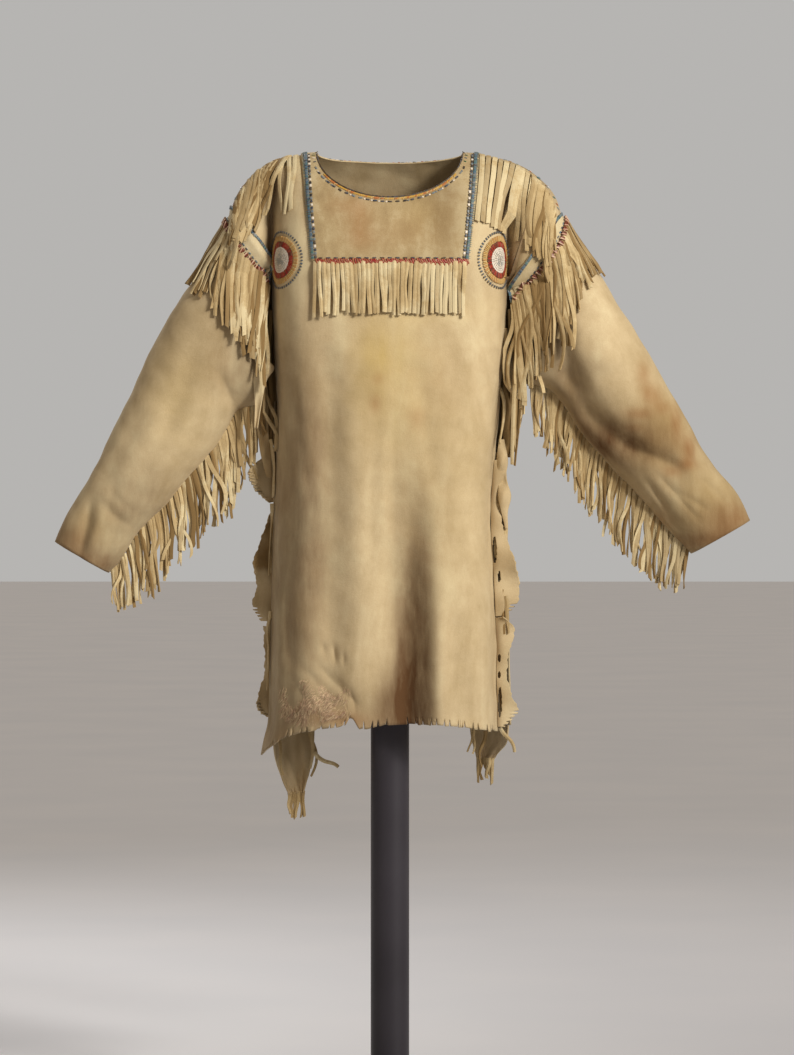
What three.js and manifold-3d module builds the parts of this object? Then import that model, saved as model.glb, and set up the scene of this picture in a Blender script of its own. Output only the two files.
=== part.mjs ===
// A buckskin war shirt on a limbless shoulder form, column and base.
// Millimetres, +Z up. The shirt's front faces -Y and its left sleeve, as seen from the front, points to -X.
// The origin is the centre of the base's underside.
//
// Each hide is a wall over a surface: a function of two shares that gives a point of the hide's inner face.
// What lies on a hide is a wall over the same surface, further out.
import * as THREE from 'three';
import Module from 'manifold-3d';

const { lerp, clamp, smoothstep, degToRad } = THREE.MathUtils;

// ---- driving sizes ----------------------------------------------------------------------------------------
const HIDE = 2.2;               // thickness of the hide
const WORK = 1.2;               // thickness of a quilled or beaded strip
const GAP = 0.3;                // clearance between pieces that touch
const SEAM_GAP = 0.4;           // the same along the curved shoulder seams
const CUT_GAP = 0.45;           // the same around a hide, for what is cut clear of it
const LYING = HIDE + GAP;       // inner face of what lies on a hide
const SHOULDER_Z = 1503;        // height of the neck points, where the shoulder ridge starts
const RIDGE_END_Z = 1407;       // height of the ridge's outer end, at the sleeve's top
const CHEST_Z = 1325;           // height below which the hides hang straight
const NECK_HALF = 112;          // half width of the neck opening
const NECK_RISE = 7;            // height of the ridge's line above the neck points, at the middle
const NECK_U = 0.6;             // share of the panel's half width at the neck point
const BIB_U = 0.65;             // the same at the bib's side
const KNEE_V = 0.4;             // share of the panel's length from its top line to the chest
const BASE_RADIUS = 200;
const BASE_THICK = 12;
const BASE_CHAMFER = 2;
const COLUMN_RADIUS = 30;
const FORM_BOTTOM_Z = 1050;

// The two sides differ: the right shoulder reaches further out and its seam runs lower.
const SIDES = {
  left: { sign: -1, shoulder: 245, seamZ: 1322, armpitZ: 1126, sleeve: null },
  right: { sign: 1, shoulder: 263, seamZ: 1288, armpitZ: 1152, sleeve: null },
};

// Half widths of the front and back hides by height.
const WIDTHS = [
  { z: 460, frontLeft: 204, frontRight: 167, backLeft: 190, backRight: 192 },
  { z: 568, frontLeft: 200, frontRight: 167, backLeft: 188, backRight: 190 },
  { z: 618, frontLeft: 189, frontRight: 166, backLeft: 186, backRight: 188 },
  { z: 790, frontLeft: 184, frontRight: 163, backLeft: 183, backRight: 184 },
  { z: 950, frontLeft: 179, frontRight: 156, backLeft: 181, backRight: 181 },
  { z: 1100, frontLeft: 175, frontRight: 168, backLeft: 180, backRight: 180 },
  { z: 1200, frontLeft: 178, frontRight: 176, backLeft: 181, backRight: 181 },
  { z: 1325, frontLeft: 183, frontRight: 183, backLeft: 183, backRight: 183 },
];

// Depth of the hides in front of and behind the side plane, and the share of it left at their side edges.
const DEPTHS = [
  { z: 460, front: 112, back: 104, edge: 0.05 },
  { z: 620, front: 112, back: 104, edge: 0.05 },
  { z: 900, front: 108, back: 98, edge: 0.05 },
  { z: 1100, front: 110, back: 95, edge: 0.08 },
  { z: 1200, front: 112, back: 96, edge: 0.24 },
  { z: 1325, front: 106, back: 98, edge: 0.26 },
];

// Cross-section of a hide: share of the depth by share of the half width. Past 1 it is the shoulder cap. It
// stands out again beyond the fold between chest and arm. Near the ridge the fold runs out: see `plain`.
const SECTION = [
  { at: 0, folded: 1, plain: 1 },
  { at: 0.3, folded: 0.985, plain: 0.985 },
  { at: 0.55, folded: 0.94, plain: 0.95 },
  { at: 0.75, folded: 0.83, plain: 0.88 },
  { at: 0.85, folded: 0.67, plain: 0.83 },
  { at: 0.93, folded: 0.44, plain: 0.78 },
  { at: 1, folded: 0, plain: 0.74 },
  { at: 1.06, folded: 0.16, plain: 0.7 },
  { at: 1.15, folded: 0.34, plain: 0.65 },
  { at: 1.45, folded: 0.42, plain: 0.56 },
];
const FOLD_FADES_FROM_Z = 1400;
const FOLD_GONE_Z = 1480;
const TROUGH_FADES_LOW = 60;    // length over which a hanging trough runs out at its lower end
const TROUGH_FADES_HIGH = 120;  // the same at its upper end

// Soft troughs that hang in the front and back hides: place across, height range, half width and depth.
const FRONT_FOLDS = [
  { x: 26, top: 900, bottom: 600, half: 24, depth: 15 },
  { x: -88, top: 1240, bottom: 720, half: 30, depth: 8 },
  { x: 112, top: 1150, bottom: 640, half: 26, depth: 6 },
];
const BACK_FOLDS = [
  { x: -60, top: 1180, bottom: 600, half: 30, depth: 12 },
  { x: 70, top: 1080, bottom: 600, half: 34, depth: 14 },
];

// Hem height by share of the half width.
const FRONT_HEM = [
  { u: -1, z: 568 },
  { u: -0.9, z: 588 },
  { u: -0.78, z: 603 },
  { u: -0.6, z: 611 },
  { u: -0.38, z: 618 },
  { u: -0.31, z: 630 },
  { u: -0.24, z: 613 },
  { u: 0, z: 619 },
  { u: 0.6, z: 616 },
  { u: 1, z: 605 },
];
const BACK_HEM = [
  { u: -1, z: 612 },
  { u: 0, z: 624 },
  { u: 1, z: 614 },
];

// Outer and inner line of each sleeve in the front view, half depth, and share of the length, from the
// shoulder to the cuff.
const LEFT_SLEEVE = [
  { t: 0.09, topX: 270, topZ: 1366, lowX: 208, lowZ: 1118, half: 64 },
  { t: 0.18, topX: 294, topZ: 1322, lowX: 237, lowZ: 1108, half: 66 },
  { t: 0.29, topX: 327, topZ: 1275, lowX: 256, lowZ: 1078, half: 65 },
  { t: 0.42, topX: 360, topZ: 1219, lowX: 277, lowZ: 1046, half: 62 },
  { t: 0.57, topX: 398, topZ: 1140, lowX: 318, lowZ: 1000, half: 57 },
  { t: 0.71, topX: 430, topZ: 1072, lowX: 354, lowZ: 957, half: 51 },
  { t: 0.84, topX: 464, topZ: 1004, lowX: 392, lowZ: 918, half: 45 },
  { t: 0.94, topX: 500, topZ: 945, lowX: 422, lowZ: 872, half: 41 },
  { t: 1, topX: 521, topZ: 900, lowX: 440, lowZ: 853, half: 38 },
];
const RIGHT_SLEEVE = [
  { t: 0.09, topX: 290, topZ: 1366, lowX: 215, lowZ: 1148, half: 64 },
  { t: 0.18, topX: 332, topZ: 1306, lowX: 249, lowZ: 1140, half: 66 },
  { t: 0.29, topX: 356, topZ: 1266, lowX: 274, lowZ: 1112, half: 65 },
  { t: 0.42, topX: 384, topZ: 1221, lowX: 298, lowZ: 1075, half: 62 },
  { t: 0.57, topX: 427, topZ: 1148, lowX: 340, lowZ: 1025, half: 57 },
  { t: 0.71, topX: 465, topZ: 1082, lowX: 384, lowZ: 979, half: 51 },
  { t: 0.84, topX: 500, topZ: 1022, lowX: 421, lowZ: 938, half: 45 },
  { t: 0.94, topX: 541, topZ: 972, lowX: 452, lowZ: 903, half: 41 },
  { t: 1, topX: 560, topZ: 933, lowX: 471, lowZ: 883, half: 38 },
];
SIDES.left.sleeve = LEFT_SLEEVE;
SIDES.right.sleeve = RIGHT_SLEEVE;
const SEAM_PHI = degToRad(55);  // turn from the sleeve's top to where the shoulder seam meets the fold

// The sleeve's first ring below the seam runs down beside the body to the armpit.
const ARMPIT = [
  { f: 0, x: 184, z: 0, y: 28 },
  { f: 0.3, x: 193, z: 0.35, y: 38 },
  { f: 0.65, x: 196, z: 0.75, y: 30 },
  { f: 1, x: 203, z: 1, y: 0 },
];

// Reach of each notched side flap beyond the hide's edge, from its lower to its upper end. `swing` carries
// the flap forward (-) or back (+) at its outer edge.
const FLAPS = {
  flap_left_leaf: { side: 'left', face: 'back', rows: [
    { z: 962, reach: 8, swing: -4 },
    { z: 985, reach: 32, swing: -10 },
    { z: 1012, reach: 38, swing: -12 },
    { z: 1040, reach: 8, swing: -4 },
  ] },
  flap_left_upper: { side: 'left', face: 'back', rows: [
    { z: 776, reach: 18, swing: 4 },
    { z: 796, reach: 32, swing: 6 },
    { z: 836, reach: 26, swing: -4 },
    { z: 866, reach: 31, swing: -8 },
    { z: 942, reach: 12, swing: -2 },
  ] },
  flap_left_lower: { side: 'left', face: 'back', rows: [
    { z: 626, reach: 9, swing: -2 },
    { z: 644, reach: 22, swing: -6 },
    { z: 700, reach: 12, swing: 3 },
    { z: 768, reach: 15, swing: 2 },
  ] },
  flap_right_upper: { side: 'right', face: 'back', rows: [
    { z: 1034, reach: 8, swing: -8 },
    { z: 1068, reach: 18, swing: -12 },
    { z: 1106, reach: 26, swing: -8 },
  ] },
  flap_right_middle: { side: 'right', face: 'front', rows: [
    { z: 778, reach: 26, swing: 8 },
    { z: 852, reach: 42, swing: 4 },
    { z: 898, reach: 36, swing: -4 },
    { z: 980, reach: 22, swing: 6 },
    { z: 1028, reach: 28, swing: 4 },
  ] },
  flap_right_lower: { side: 'right', face: 'front', rows: [
    { z: 612, reach: 18, swing: 2 },
    { z: 640, reach: 34, swing: 10 },
    { z: 692, reach: 22, swing: -4 },
    { z: 768, reach: 30, swing: 6 },
  ] },
};

// Leg skins below the back hem: edges as shares of the half width, by distance down.
const LEG_TABS = {
  leg_tab_left: [
    { down: 0, inner: -0.56, outer: -0.99 },
    { down: 60, inner: -0.6, outer: -0.98 },
    { down: 110, inner: -0.7, outer: -0.9 },
    { down: 154, inner: -0.76, outer: -0.84 },
  ],
  leg_tab_right: [
    { down: 0, inner: 0.66, outer: 0.99 },
    { down: 40, inner: 0.7, outer: 0.99 },
    { down: 72, inner: 0.74, outer: 0.9 },
    { down: 98, inner: 0.77, outer: 0.84 },
  ],
};

// The shoulder form: sections from the middle outwards. A top of null rests under the shoulder ridge.
const FORM = [
  { x: 0, top: 1424, bottom: FORM_BOTTOM_Z, front: 86, back: 74 },
  { x: 60, top: 1424, bottom: FORM_BOTTOM_Z, front: 84, back: 72 },
  { x: 92, top: 1437, bottom: 1052, front: 79, back: 68 },
  { x: 112, top: 1476, bottom: 1060, front: 73, back: 64 },
  { x: 132, top: null, bottom: 1080, front: 62, back: 54 },
  { x: 148, top: null, bottom: 1160, front: 46, back: 42 },
  { x: 160, top: null, bottom: 1300, front: 28, back: 26 },
  { x: 172, top: null, bottom: 1410, front: 16, back: 16 },
  { x: 200, top: null, bottom: 1448, front: 10, back: 10 },
];

// ---- finishes ---------------------------------------------------------------------------------------------
const finish = (color, roughness, metalness = 0) =>
  new THREE.MeshStandardMaterial({ color, roughness, metalness });
const BUCKSKIN = finish(0xc4ab80, 0.9);
const FRINGE = finish(0xbfa477, 0.9);
const BLUE_WORK = finish(0x55728a, 0.6);
const RED_WORK = finish(0x9a4a30, 0.6);
const DISC_WORK = finish(0xc08a50, 0.6);
const FORM_COVER = finish(0x6f6552, 0.95);
const STAND_PAINT = finish(0x3e3a3d, 0.45, 0.3);

// ---- reading the tables -----------------------------------------------------------------------------------
// One column of a table at any place along its key, on a smooth curve through the rows.
function sample(table, key, column, at) {
  const last = table.length - 1;
  if (at <= table[0][key]) return table[0][column];
  if (at >= table[last][key]) return table[last][column];
  const i = table.findIndex((row) => row[key] > at) - 1;
  const slope = (row) => {
    const before = table[Math.max(row - 1, 0)];
    const after = table[Math.min(row + 1, last)];
    return (after[column] - before[column]) / (after[key] - before[key]);
  };
  const span = table[i + 1][key] - table[i][key];
  const s = (at - table[i][key]) / span;
  return (2 * s ** 3 - 3 * s ** 2 + 1) * table[i][column] + (s ** 3 - 2 * s ** 2 + s) * span * slope(i)
    + (3 * s ** 2 - 2 * s ** 3) * table[i + 1][column] + (s ** 3 - s ** 2) * span * slope(i + 1);
}

// A list of `count` + 1 even steps.
const steps = (from, to, count) => Array.from({ length: count + 1 }, (_, i) => lerp(from, to, i / count));

// ---- walls over surfaces ----------------------------------------------------------------------------------
const STEP = 1e-3;              // share by which a surface is stepped to find its slope

// Unit vector that points out of a surface; `surface.out` says which way round its shares run.
function outward(surface, u, v) {
  const slopeOf = (du, dv) => {
    const ahead = surface(Math.min(u + du, 1), Math.min(v + dv, 1));
    const behind = surface(Math.max(u - du, surface.lowU), Math.max(v - dv, 0));
    return ahead.sub(behind);
  };
  return slopeOf(STEP, 0).cross(slopeOf(0, STEP)).normalize().multiplyScalar(surface.out);
}

// A closed solid from two grids of points of the same size; `wraps` joins the last column to the first.
function solidBetween(inner, outer, wraps) {
  const rows = inner.length;
  const columns = inner[0].length;
  const points = [...inner.flat(), ...outer.flat()];
  const at = (layer, row, column) => layer * rows * columns + row * columns + (column % columns);
  const faces = [];
  const quad = (a, b, c, d) => faces.push(a, b, c, a, c, d);
  const spans = wraps ? columns : columns - 1;
  for (let row = 0; row < rows - 1; row += 1) {
    for (let column = 0; column < spans; column += 1) {
      const next = column + 1;
      quad(at(1, row, column), at(1, row + 1, column), at(1, row + 1, next), at(1, row, next));
      quad(at(0, row, column), at(0, row, next), at(0, row + 1, next), at(0, row + 1, column));
    }
  }
  for (let column = 0; column < spans; column += 1) {
    const next = column + 1;
    quad(at(0, 0, column), at(1, 0, column), at(1, 0, next), at(0, 0, next));
    quad(at(1, rows - 1, column), at(0, rows - 1, column), at(0, rows - 1, next), at(1, rows - 1, next));
  }
  if (!wraps) {
    for (let row = 0; row < rows - 1; row += 1) {
      quad(at(1, row, 0), at(0, row, 0), at(0, row + 1, 0), at(1, row + 1, 0));
      quad(at(0, row, spans), at(1, row, spans), at(1, row + 1, spans), at(0, row + 1, spans));
    }
  }
  return { points, faces };
}

function volumeOf({ points, faces }) {
  let volume = 0;
  for (let i = 0; i < faces.length; i += 3) {
    const [a, b, c] = [points[faces[i]], points[faces[i + 1]], points[faces[i + 2]]];
    volume += a.dot(b.clone().cross(c)) / 6;
  }
  return volume;
}

// A wall over part of a surface, from `from` to `from` + `thick` outside it. `place` turns a grid place into
// the surface's shares, and `turned` may give another outward direction than the surface's own.
function wallOver(surface, us, vs, { from = 0, thick = HIDE, place, wraps = false, turned } = {}) {
  const grids = [from, from + thick].map((offset) => vs.map((v) => us.map((u) => {
    const [su, sv] = place ? place(u, v) : [u, v];
    const normal = (turned && turned(su, sv)) || outward(surface, su, sv);
    return surface(su, sv).addScaledVector(normal, offset);
  })));
  const solid = solidBetween(grids[0], grids[1], wraps);
  if (volumeOf(solid) < 0) solid.faces.reverse();
  return solid;
}

const wasm = await Module();
wasm.setup();
const asManifold = ({ points, faces }) => new wasm.Manifold(new wasm.Mesh({
  numProp: 3,
  vertProperties: Float32Array.from(points.flatMap((point) => point.toArray())),
  triVerts: Uint32Array.from(faces),
}));

// What is left of a solid once its neighbours' clearances are cut away; crumbs are dropped.
function cutClear(solid, neighbours) {
  const left = neighbours.reduce((body, neighbour) => body.subtract(neighbour), asManifold(solid));
  const [largest] = left.decompose().sort((a, b) => b.volume() - a.volume());
  const { vertProperties, triVerts } = largest.getMesh();
  const points = [];
  for (let i = 0; i < vertProperties.length; i += 3) {
    points.push(new THREE.Vector3().fromArray(vertProperties, i));
  }
  return { points, faces: Array.from(triVerts) };
}

const shirt = new THREE.Group();

function addSolid(name, material, solid) {
  const geometry = new THREE.BufferGeometry().setFromPoints(solid.points);
  geometry.setIndex(solid.faces);
  const mesh = new THREE.Mesh(geometry, material);
  mesh.name = name;
  shirt.add(mesh);
}

// `clearOf` names the hides that the wall lies on, which it is cut clear of.
function addWall(name, material, surface, us, vs, { clearOf = [], ...options } = {}) {
  const solid = wallOver(surface, us, vs, options);
  addSolid(name, material, clearOf.length ? cutClear(solid, clearOf) : solid);
}

// ---- the front and back hides -----------------------------------------------------------------------------
// Height of the shoulder ridge above a place across: a quarter ellipse from the neck point outwards.
function ridge(x, side) {
  if (x <= NECK_HALF) return SHOULDER_Z + NECK_RISE * Math.cos(Math.PI / 2 * x / NECK_HALF) ** 2;
  const share = Math.min((x - NECK_HALF) / (side.shoulder - NECK_HALF), 1);
  return RIDGE_END_Z + (SHOULDER_Z - RIDGE_END_Z) * Math.sqrt(1 - share ** 2);
}

function foldDepth(folds, x, z) {
  return folds.reduce((sum, fold) => {
    const low = smoothstep(z, fold.bottom - TROUGH_FADES_LOW, fold.bottom);
    const high = 1 - smoothstep(z, fold.top - TROUGH_FADES_HIGH, fold.top);
    return sum + fold.depth * low * high * Math.exp(-(((x - fold.x) / fold.half) ** 2));
  }, 0);
}

// Share across from -1 to 1, share down from 0 at the neck and ridge to 1 at the hem.
function makePanel({ name, facing, neckDrop, hem, folds }) {
  const sideOf = (u) => (u < 0 ? SIDES.left : SIDES.right);
  const kneeZ = (u) => lerp(CHEST_Z, sideOf(u).seamZ, smoothstep(Math.abs(u), BIB_U, 1));
  const widthAt = (u, z) => sample(WIDTHS, 'z', name + (u < 0 ? 'Left' : 'Right'), z);
  const topLine = (u, side) => {
    const across = Math.abs(u);
    if (across < NECK_U) {
      const turn = Math.PI / 2 * across / NECK_U;
      return [NECK_HALF * Math.sin(turn), SHOULDER_Z - neckDrop * Math.cos(turn)];
    }
    const turn = Math.PI / 2 * (across - NECK_U) / (1 - NECK_U);
    return [lerp(NECK_HALF, side.shoulder, Math.sin(turn)), lerp(RIDGE_END_Z, SHOULDER_Z, Math.cos(turn))];
  };
  const depthAt = (x, z, width) => {
    const edge = sample(DEPTHS, 'z', 'edge', z);
    const folded = edge + (1 - edge) * sample(SECTION, 'at', 'folded', x / width);
    const plain = sample(SECTION, 'at', 'plain', x / width);
    return sample(DEPTHS, 'z', name, z) * lerp(folded, plain, smoothstep(z, FOLD_FADES_FROM_Z, FOLD_GONE_Z));
  };
  const panel = (u, v) => {
    const side = sideOf(u);
    const knee = kneeZ(u);
    const kneeX = widthAt(u, knee) * Math.abs(u);
    if (v < KNEE_V) {
      const eased = 1 - Math.cos(Math.PI / 2 * v / KNEE_V);
      const [topX, topZ] = topLine(u, side);
      const x = lerp(topX, kneeX, eased);
      const z = lerp(topZ, knee, eased);
      const lift = clamp((z - knee) / (ridge(x, side) - knee), 0, 1);
      const y = depthAt(x, z, widthAt(u, knee)) * Math.sqrt(1 - lift ** 2);
      return new THREE.Vector3(side.sign * x, facing * (y + GAP / 2), z);
    }
    const z = lerp(knee, sample(hem, 'u', 'z', u), (v - KNEE_V) / (1 - KNEE_V));
    const width = widthAt(u, z);
    const x = side.sign * width * Math.abs(u);
    const y = depthAt(Math.abs(x), z, width) - foldDepth(folds, x, z);
    return new THREE.Vector3(x, facing * (y + GAP / 2), z);
  };
  // The share down at which a column reaches a height.
  panel.downTo = (u, z) => {
    const knee = kneeZ(u);
    if (z < knee) return KNEE_V + (1 - KNEE_V) * (knee - z) / (knee - sample(hem, 'u', 'z', u));
    const [, topZ] = topLine(u, sideOf(u));
    return KNEE_V * Math.acos(clamp((z - knee) / (topZ - knee), 0, 1)) * 2 / Math.PI;
  };
  // The share across, on one side, of the place that lies a distance across at a height.
  panel.acrossTo = (sign, x, z) => {
    let [low, high] = [0, 1];
    for (let i = 0; i < 20; i += 1) {
      const middle = sign * (low + high) / 2;
      if (Math.abs(panel(middle, panel.downTo(middle, z)).x) < x) low = Math.abs(middle);
      else high = Math.abs(middle);
    }
    return sign * low;
  };
  panel.lowU = -1;
  panel.out = facing;
  return panel;
}

const front = makePanel({ name: 'front', facing: -1, neckDrop: 73, hem: FRONT_HEM, folds: FRONT_FOLDS });
const back = makePanel({ name: 'back', facing: 1, neckDrop: 9, hem: BACK_HEM, folds: BACK_FOLDS });

const SEAM_SHARES = [0, 0.13, 0.27, 0.42, 0.6, 0.8, 1];
const HALF_COLUMNS = [0.13, 0.26, 0.4, 0.5, NECK_U, BIB_U, 0.72, 0.8, 0.87, 0.93, 0.97, 1];
const PANEL_COLUMNS = [...HALF_COLUMNS.map((u) => -u).reverse(), 0, ...HALF_COLUMNS];
const PANEL_ROWS = [...SEAM_SHARES.map((share) => share * KNEE_V), ...steps(KNEE_V, 1, 9).slice(1)];

// ---- the sleeves ------------------------------------------------------------------------------------------
// Share u turns from -1 at the underarm, over the back, 0 at the top and over the front to 1 at the underarm;
// share v runs from the shoulder seam to the cuff.
function makeSleeve(side) {
  const rings = side.sleeve;
  const ringPoint = (turn, t) => {
    const column = (name) => sample(rings, 't', name, t);
    const top = new THREE.Vector2(column('topX'), column('topZ'));
    const low = new THREE.Vector2(column('lowX'), column('lowZ'));
    const spot = low.clone().lerp(top, (1 + Math.cos(turn)) / 2);
    return new THREE.Vector3(side.sign * spot.x, -column('half') * Math.sin(turn), spot.y);
  };
  const seamPoint = (turn) => {
    const hide = turn < 0 ? back : front;
    const spread = Math.abs(turn);
    if (spread <= SEAM_PHI) return hide(side.sign, KNEE_V * spread / SEAM_PHI);
    const f = (spread - SEAM_PHI) / (Math.PI - SEAM_PHI);
    const start = hide(side.sign, KNEE_V);
    const z = lerp(start.z, side.armpitZ, sample(ARMPIT, 'f', 'z', f));
    const x = side.sign * sample(ARMPIT, 'f', 'x', f);
    return new THREE.Vector3(x, -Math.sign(turn) * sample(ARMPIT, 'f', 'y', f), z);
  };
  const firstT = rings[0].t;
  const sleeve = (u, v) => {
    const turn = u * Math.PI;
    if (v >= firstT) return ringPoint(turn, v);
    const seam = seamPoint(turn);
    const run = ringPoint(turn, firstT).sub(seam);
    return seam.addScaledVector(run, lerp(SEAM_GAP / run.length(), 1, v / firstT));
  };
  sleeve.lowU = -1;
  sleeve.out = side.sign;
  return sleeve;
}

const TURN_SHARES = [
  ...SEAM_SHARES.map((share) => share * SEAM_PHI / Math.PI),
  ...steps(SEAM_PHI / Math.PI, 1, 5).slice(1),
];
const SLEEVE_COLUMNS = [...TURN_SHARES.slice(1, -1).map((u) => -u).reverse(), ...TURN_SHARES];
const SLEEVE_ROWS = [0, 0.09, 0.18, 0.29, 0.42, 0.57, 0.71, 0.84, 0.94, 1];
const sleeves = { left: makeSleeve(SIDES.left), right: makeSleeve(SIDES.right) };

// Along the shoulder seam a hide and its sleeve turn their rims the same way, so the two stay a gap apart.
const SEAM_TURN = SEAM_PHI / Math.PI;
function seamNormal(hide, name, share) {
  const { sign } = SIDES[name];
  const turn = (hide === back ? -1 : 1) * share * SEAM_TURN;
  return outward(hide, sign, share * KNEE_V).add(outward(sleeves[name], turn, 0)).normalize();
}
// The space of each hide with the clearance that other pieces keep from it.
const clearances = {};
function addHide(name, surface, us, vs, options) {
  addWall(name, BUCKSKIN, surface, us, vs, options);
  const from = (options.from ?? 0) - CUT_GAP;
  clearances[name] = asManifold(wallOver(surface, us, vs, { ...options, from, thick: HIDE + 2 * CUT_GAP }));
}
for (const [name, hide] of Object.entries({ front_panel: front, back_panel: back })) {
  const turned = (u, v) => (Math.abs(u) === 1 && v <= KNEE_V
    ? seamNormal(hide, u < 0 ? 'left' : 'right', v / KNEE_V) : null);
  addHide(name, hide, PANEL_COLUMNS, PANEL_ROWS, { turned });
}
for (const [name, side] of Object.entries(SIDES)) {
  const turned = (u, v) => (v === 0 && Math.abs(u) <= SEAM_TURN
    ? seamNormal(u < 0 ? back : front, name, Math.abs(u) / SEAM_TURN) : null);
  addHide(`sleeve_${name}`, sleeves[name], SLEEVE_COLUMNS, SLEEVE_ROWS, { wraps: true, turned });
}

// ---- the bib, its bands and its fringe --------------------------------------------------------------------
const BIB_BOTTOM_Z = 1331;
const BIB_TOP_V = 0.02;         // the bib starts just off the ridge
const BAND_U = 0.05;            // width of a side band
const BAND_INSET_U = 0.002;     // from the bib's side edge to the band
const HEADING_TALL = 6;
const BIB_FRINGE_LONG = 78;
const BIB_FRINGE_THICK = 3;
const bibColumns = PANEL_COLUMNS.filter((u) => Math.abs(u) <= BIB_U);
// The bib has the front hide's rows, down to its own lower edge.
const bibRows = [BIB_TOP_V, ...SEAM_SHARES.slice(1).map((share) => share * KNEE_V)];
const onBib = (lowZ) => (u, v) => [u, Math.min(v, front.downTo(u, lowZ))];

addHide('bib', front, bibColumns, bibRows, { from: LYING, place: onBib(BIB_BOTTOM_Z) });
for (const [name, side] of Object.entries(SIDES)) {
  const columns = [BIB_U - BAND_U, BIB_U - BAND_INSET_U].map((u) => side.sign * u);
  addWall(`bib_band_${name}`, BLUE_WORK, front, columns, bibRows,
    { from: 2 * LYING + GAP, thick: WORK, place: onBib(BIB_BOTTOM_Z + HEADING_TALL + GAP) });
}
addWall('bib_heading', RED_WORK, front, bibColumns, [BIB_BOTTOM_Z + HEADING_TALL, BIB_BOTTOM_Z],
  { from: 2 * LYING, thick: WORK, place: (u, z) => [u, front.downTo(u, z)] });
const bibFringeRows = [BIB_BOTTOM_Z - GAP, CHEST_Z, BIB_BOTTOM_Z - BIB_FRINGE_LONG];
addWall('bib_fringe', FRINGE, front, bibColumns, bibFringeRows,
  { from: LYING, thick: BIB_FRINGE_THICK, place: (u, z) => [u, front.downTo(u, z)] });

// ---- rosettes ---------------------------------------------------------------------------------------------
// The fold beside the arm cuts its outer side short.
const ROSETTE = { radius: 43, outerReach: 27, x: 166, z: 1336, thick: 2.2 };
// A square grid drawn in to a disc, so that its rim is a circle.
function discPlace(a, b) {
  return [a * Math.sqrt(1 - b ** 2 / 2), b * Math.sqrt(1 - a ** 2 / 2)];
}
// The place across that lies a distance over the hide from the disc's centre.
function overHide(sign, distance) {
  const count = 24;
  let { x } = ROSETTE;
  for (let i = 0; i < count; i += 1) {
    const u = front.acrossTo(sign, x, ROSETTE.z);
    const spot = front(u, front.downTo(u, ROSETTE.z));
    const next = front.acrossTo(sign, x + 1, ROSETTE.z);
    const slope = front(next, front.downTo(next, ROSETTE.z)).distanceTo(spot);
    x += distance / count / slope;
  }
  return x;
}
for (const [name, { sign }] of Object.entries(SIDES)) {
  const place = (a, b) => {
    const [across, up] = discPlace(a, b);
    const z = ROSETTE.z + up * ROSETTE.radius;
    const outer = sign * across > 0;
    const distance = sign * across * (outer ? ROSETTE.outerReach : ROSETTE.radius);
    const u = front.acrossTo(sign, overHide(sign, distance), z);
    return [u, front.downTo(u, z)];
  };
  const clearOf = [clearances.front_panel, clearances.bib];
  addWall(`rosette_${name}`, DISC_WORK, front, steps(-1, 1, 6), steps(1, -1, 6),
    { from: LYING + 2 * GAP, thick: ROSETTE.thick, place, clearOf });
}

// ---- shoulder fringe --------------------------------------------------------------------------------------
const FRINGE_THICK = 3.5;
const SHOULDER_FRINGE_TOP_V = 0.05;
const SHOULDER_FRINGE_ROWS = [SHOULDER_FRINGE_TOP_V, ...PANEL_ROWS.slice(2, 6)];
const SHOULDER_FRINGE = [
  { u: 0.665, z: 1398 },
  { u: 0.8, z: 1396 },
  { u: 0.9, z: 1392 },
  { u: 0.975, z: 1386 },
];
for (const [name, side] of Object.entries(SIDES)) {
  const across = [BIB_U + 0.01, ...PANEL_COLUMNS.filter((u) => u > BIB_U && u < 1)];
  const columns = side.sign > 0 ? across : across.map((u) => -u).reverse();
  const place = (u, v) => [u, Math.min(v, front.downTo(u, sample(SHOULDER_FRINGE, 'u', 'z', Math.abs(u))))];
  addWall(`shoulder_fringe_${name}`, FRINGE, front, columns, SHOULDER_FRINGE_ROWS,
    { from: LYING, thick: FRINGE_THICK, place, clearOf: [clearances.front_panel] });
}

// ---- arm bands and their fringe ---------------------------------------------------------------------------
const ARM_BAND = { start: 0.012, end: 0.075, turn: 0.36, proud: 1 };
// How far along the sleeve the arm fringe reaches, by turn from the top; the last row is its end.
const ARM_FRINGE = [
  { turn: 0, end: 0.26 },
  { turn: 0.3, end: 0.29 },
  { turn: 0.58, end: 0.28 },
  { turn: 0.73, end: 0.24 },
];
const ARM_FRINGE_TURN = ARM_FRINGE[ARM_FRINGE.length - 1].turn;
const ARM_FRINGE_STEP = 0.002;  // from the band's lower edge to the fringe, as a share of the sleeve's length
for (const name of Object.keys(SIDES)) {
  const within = (turn) => SLEEVE_COLUMNS.filter((u) => Math.abs(u) <= turn);
  addWall(`arm_band_${name}`, BUCKSKIN, sleeves[name], within(ARM_BAND.turn),
    [ARM_BAND.start, ARM_BAND.end],
    { from: LYING + ARM_BAND.proud, thick: HIDE, clearOf: [clearances[`sleeve_${name}`]] });
  const place = (u, v) => [u, Math.min(v, sample(ARM_FRINGE, 'turn', 'end', Math.abs(u)))];
  addWall(`arm_fringe_${name}`, FRINGE, sleeves[name], within(ARM_FRINGE_TURN),
    [ARM_BAND.end + ARM_FRINGE_STEP, ...SLEEVE_ROWS.slice(1, 4)],
    { from: LYING + GAP, thick: FRINGE_THICK, place, clearOf: [clearances[`sleeve_${name}`]] });
}

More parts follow.
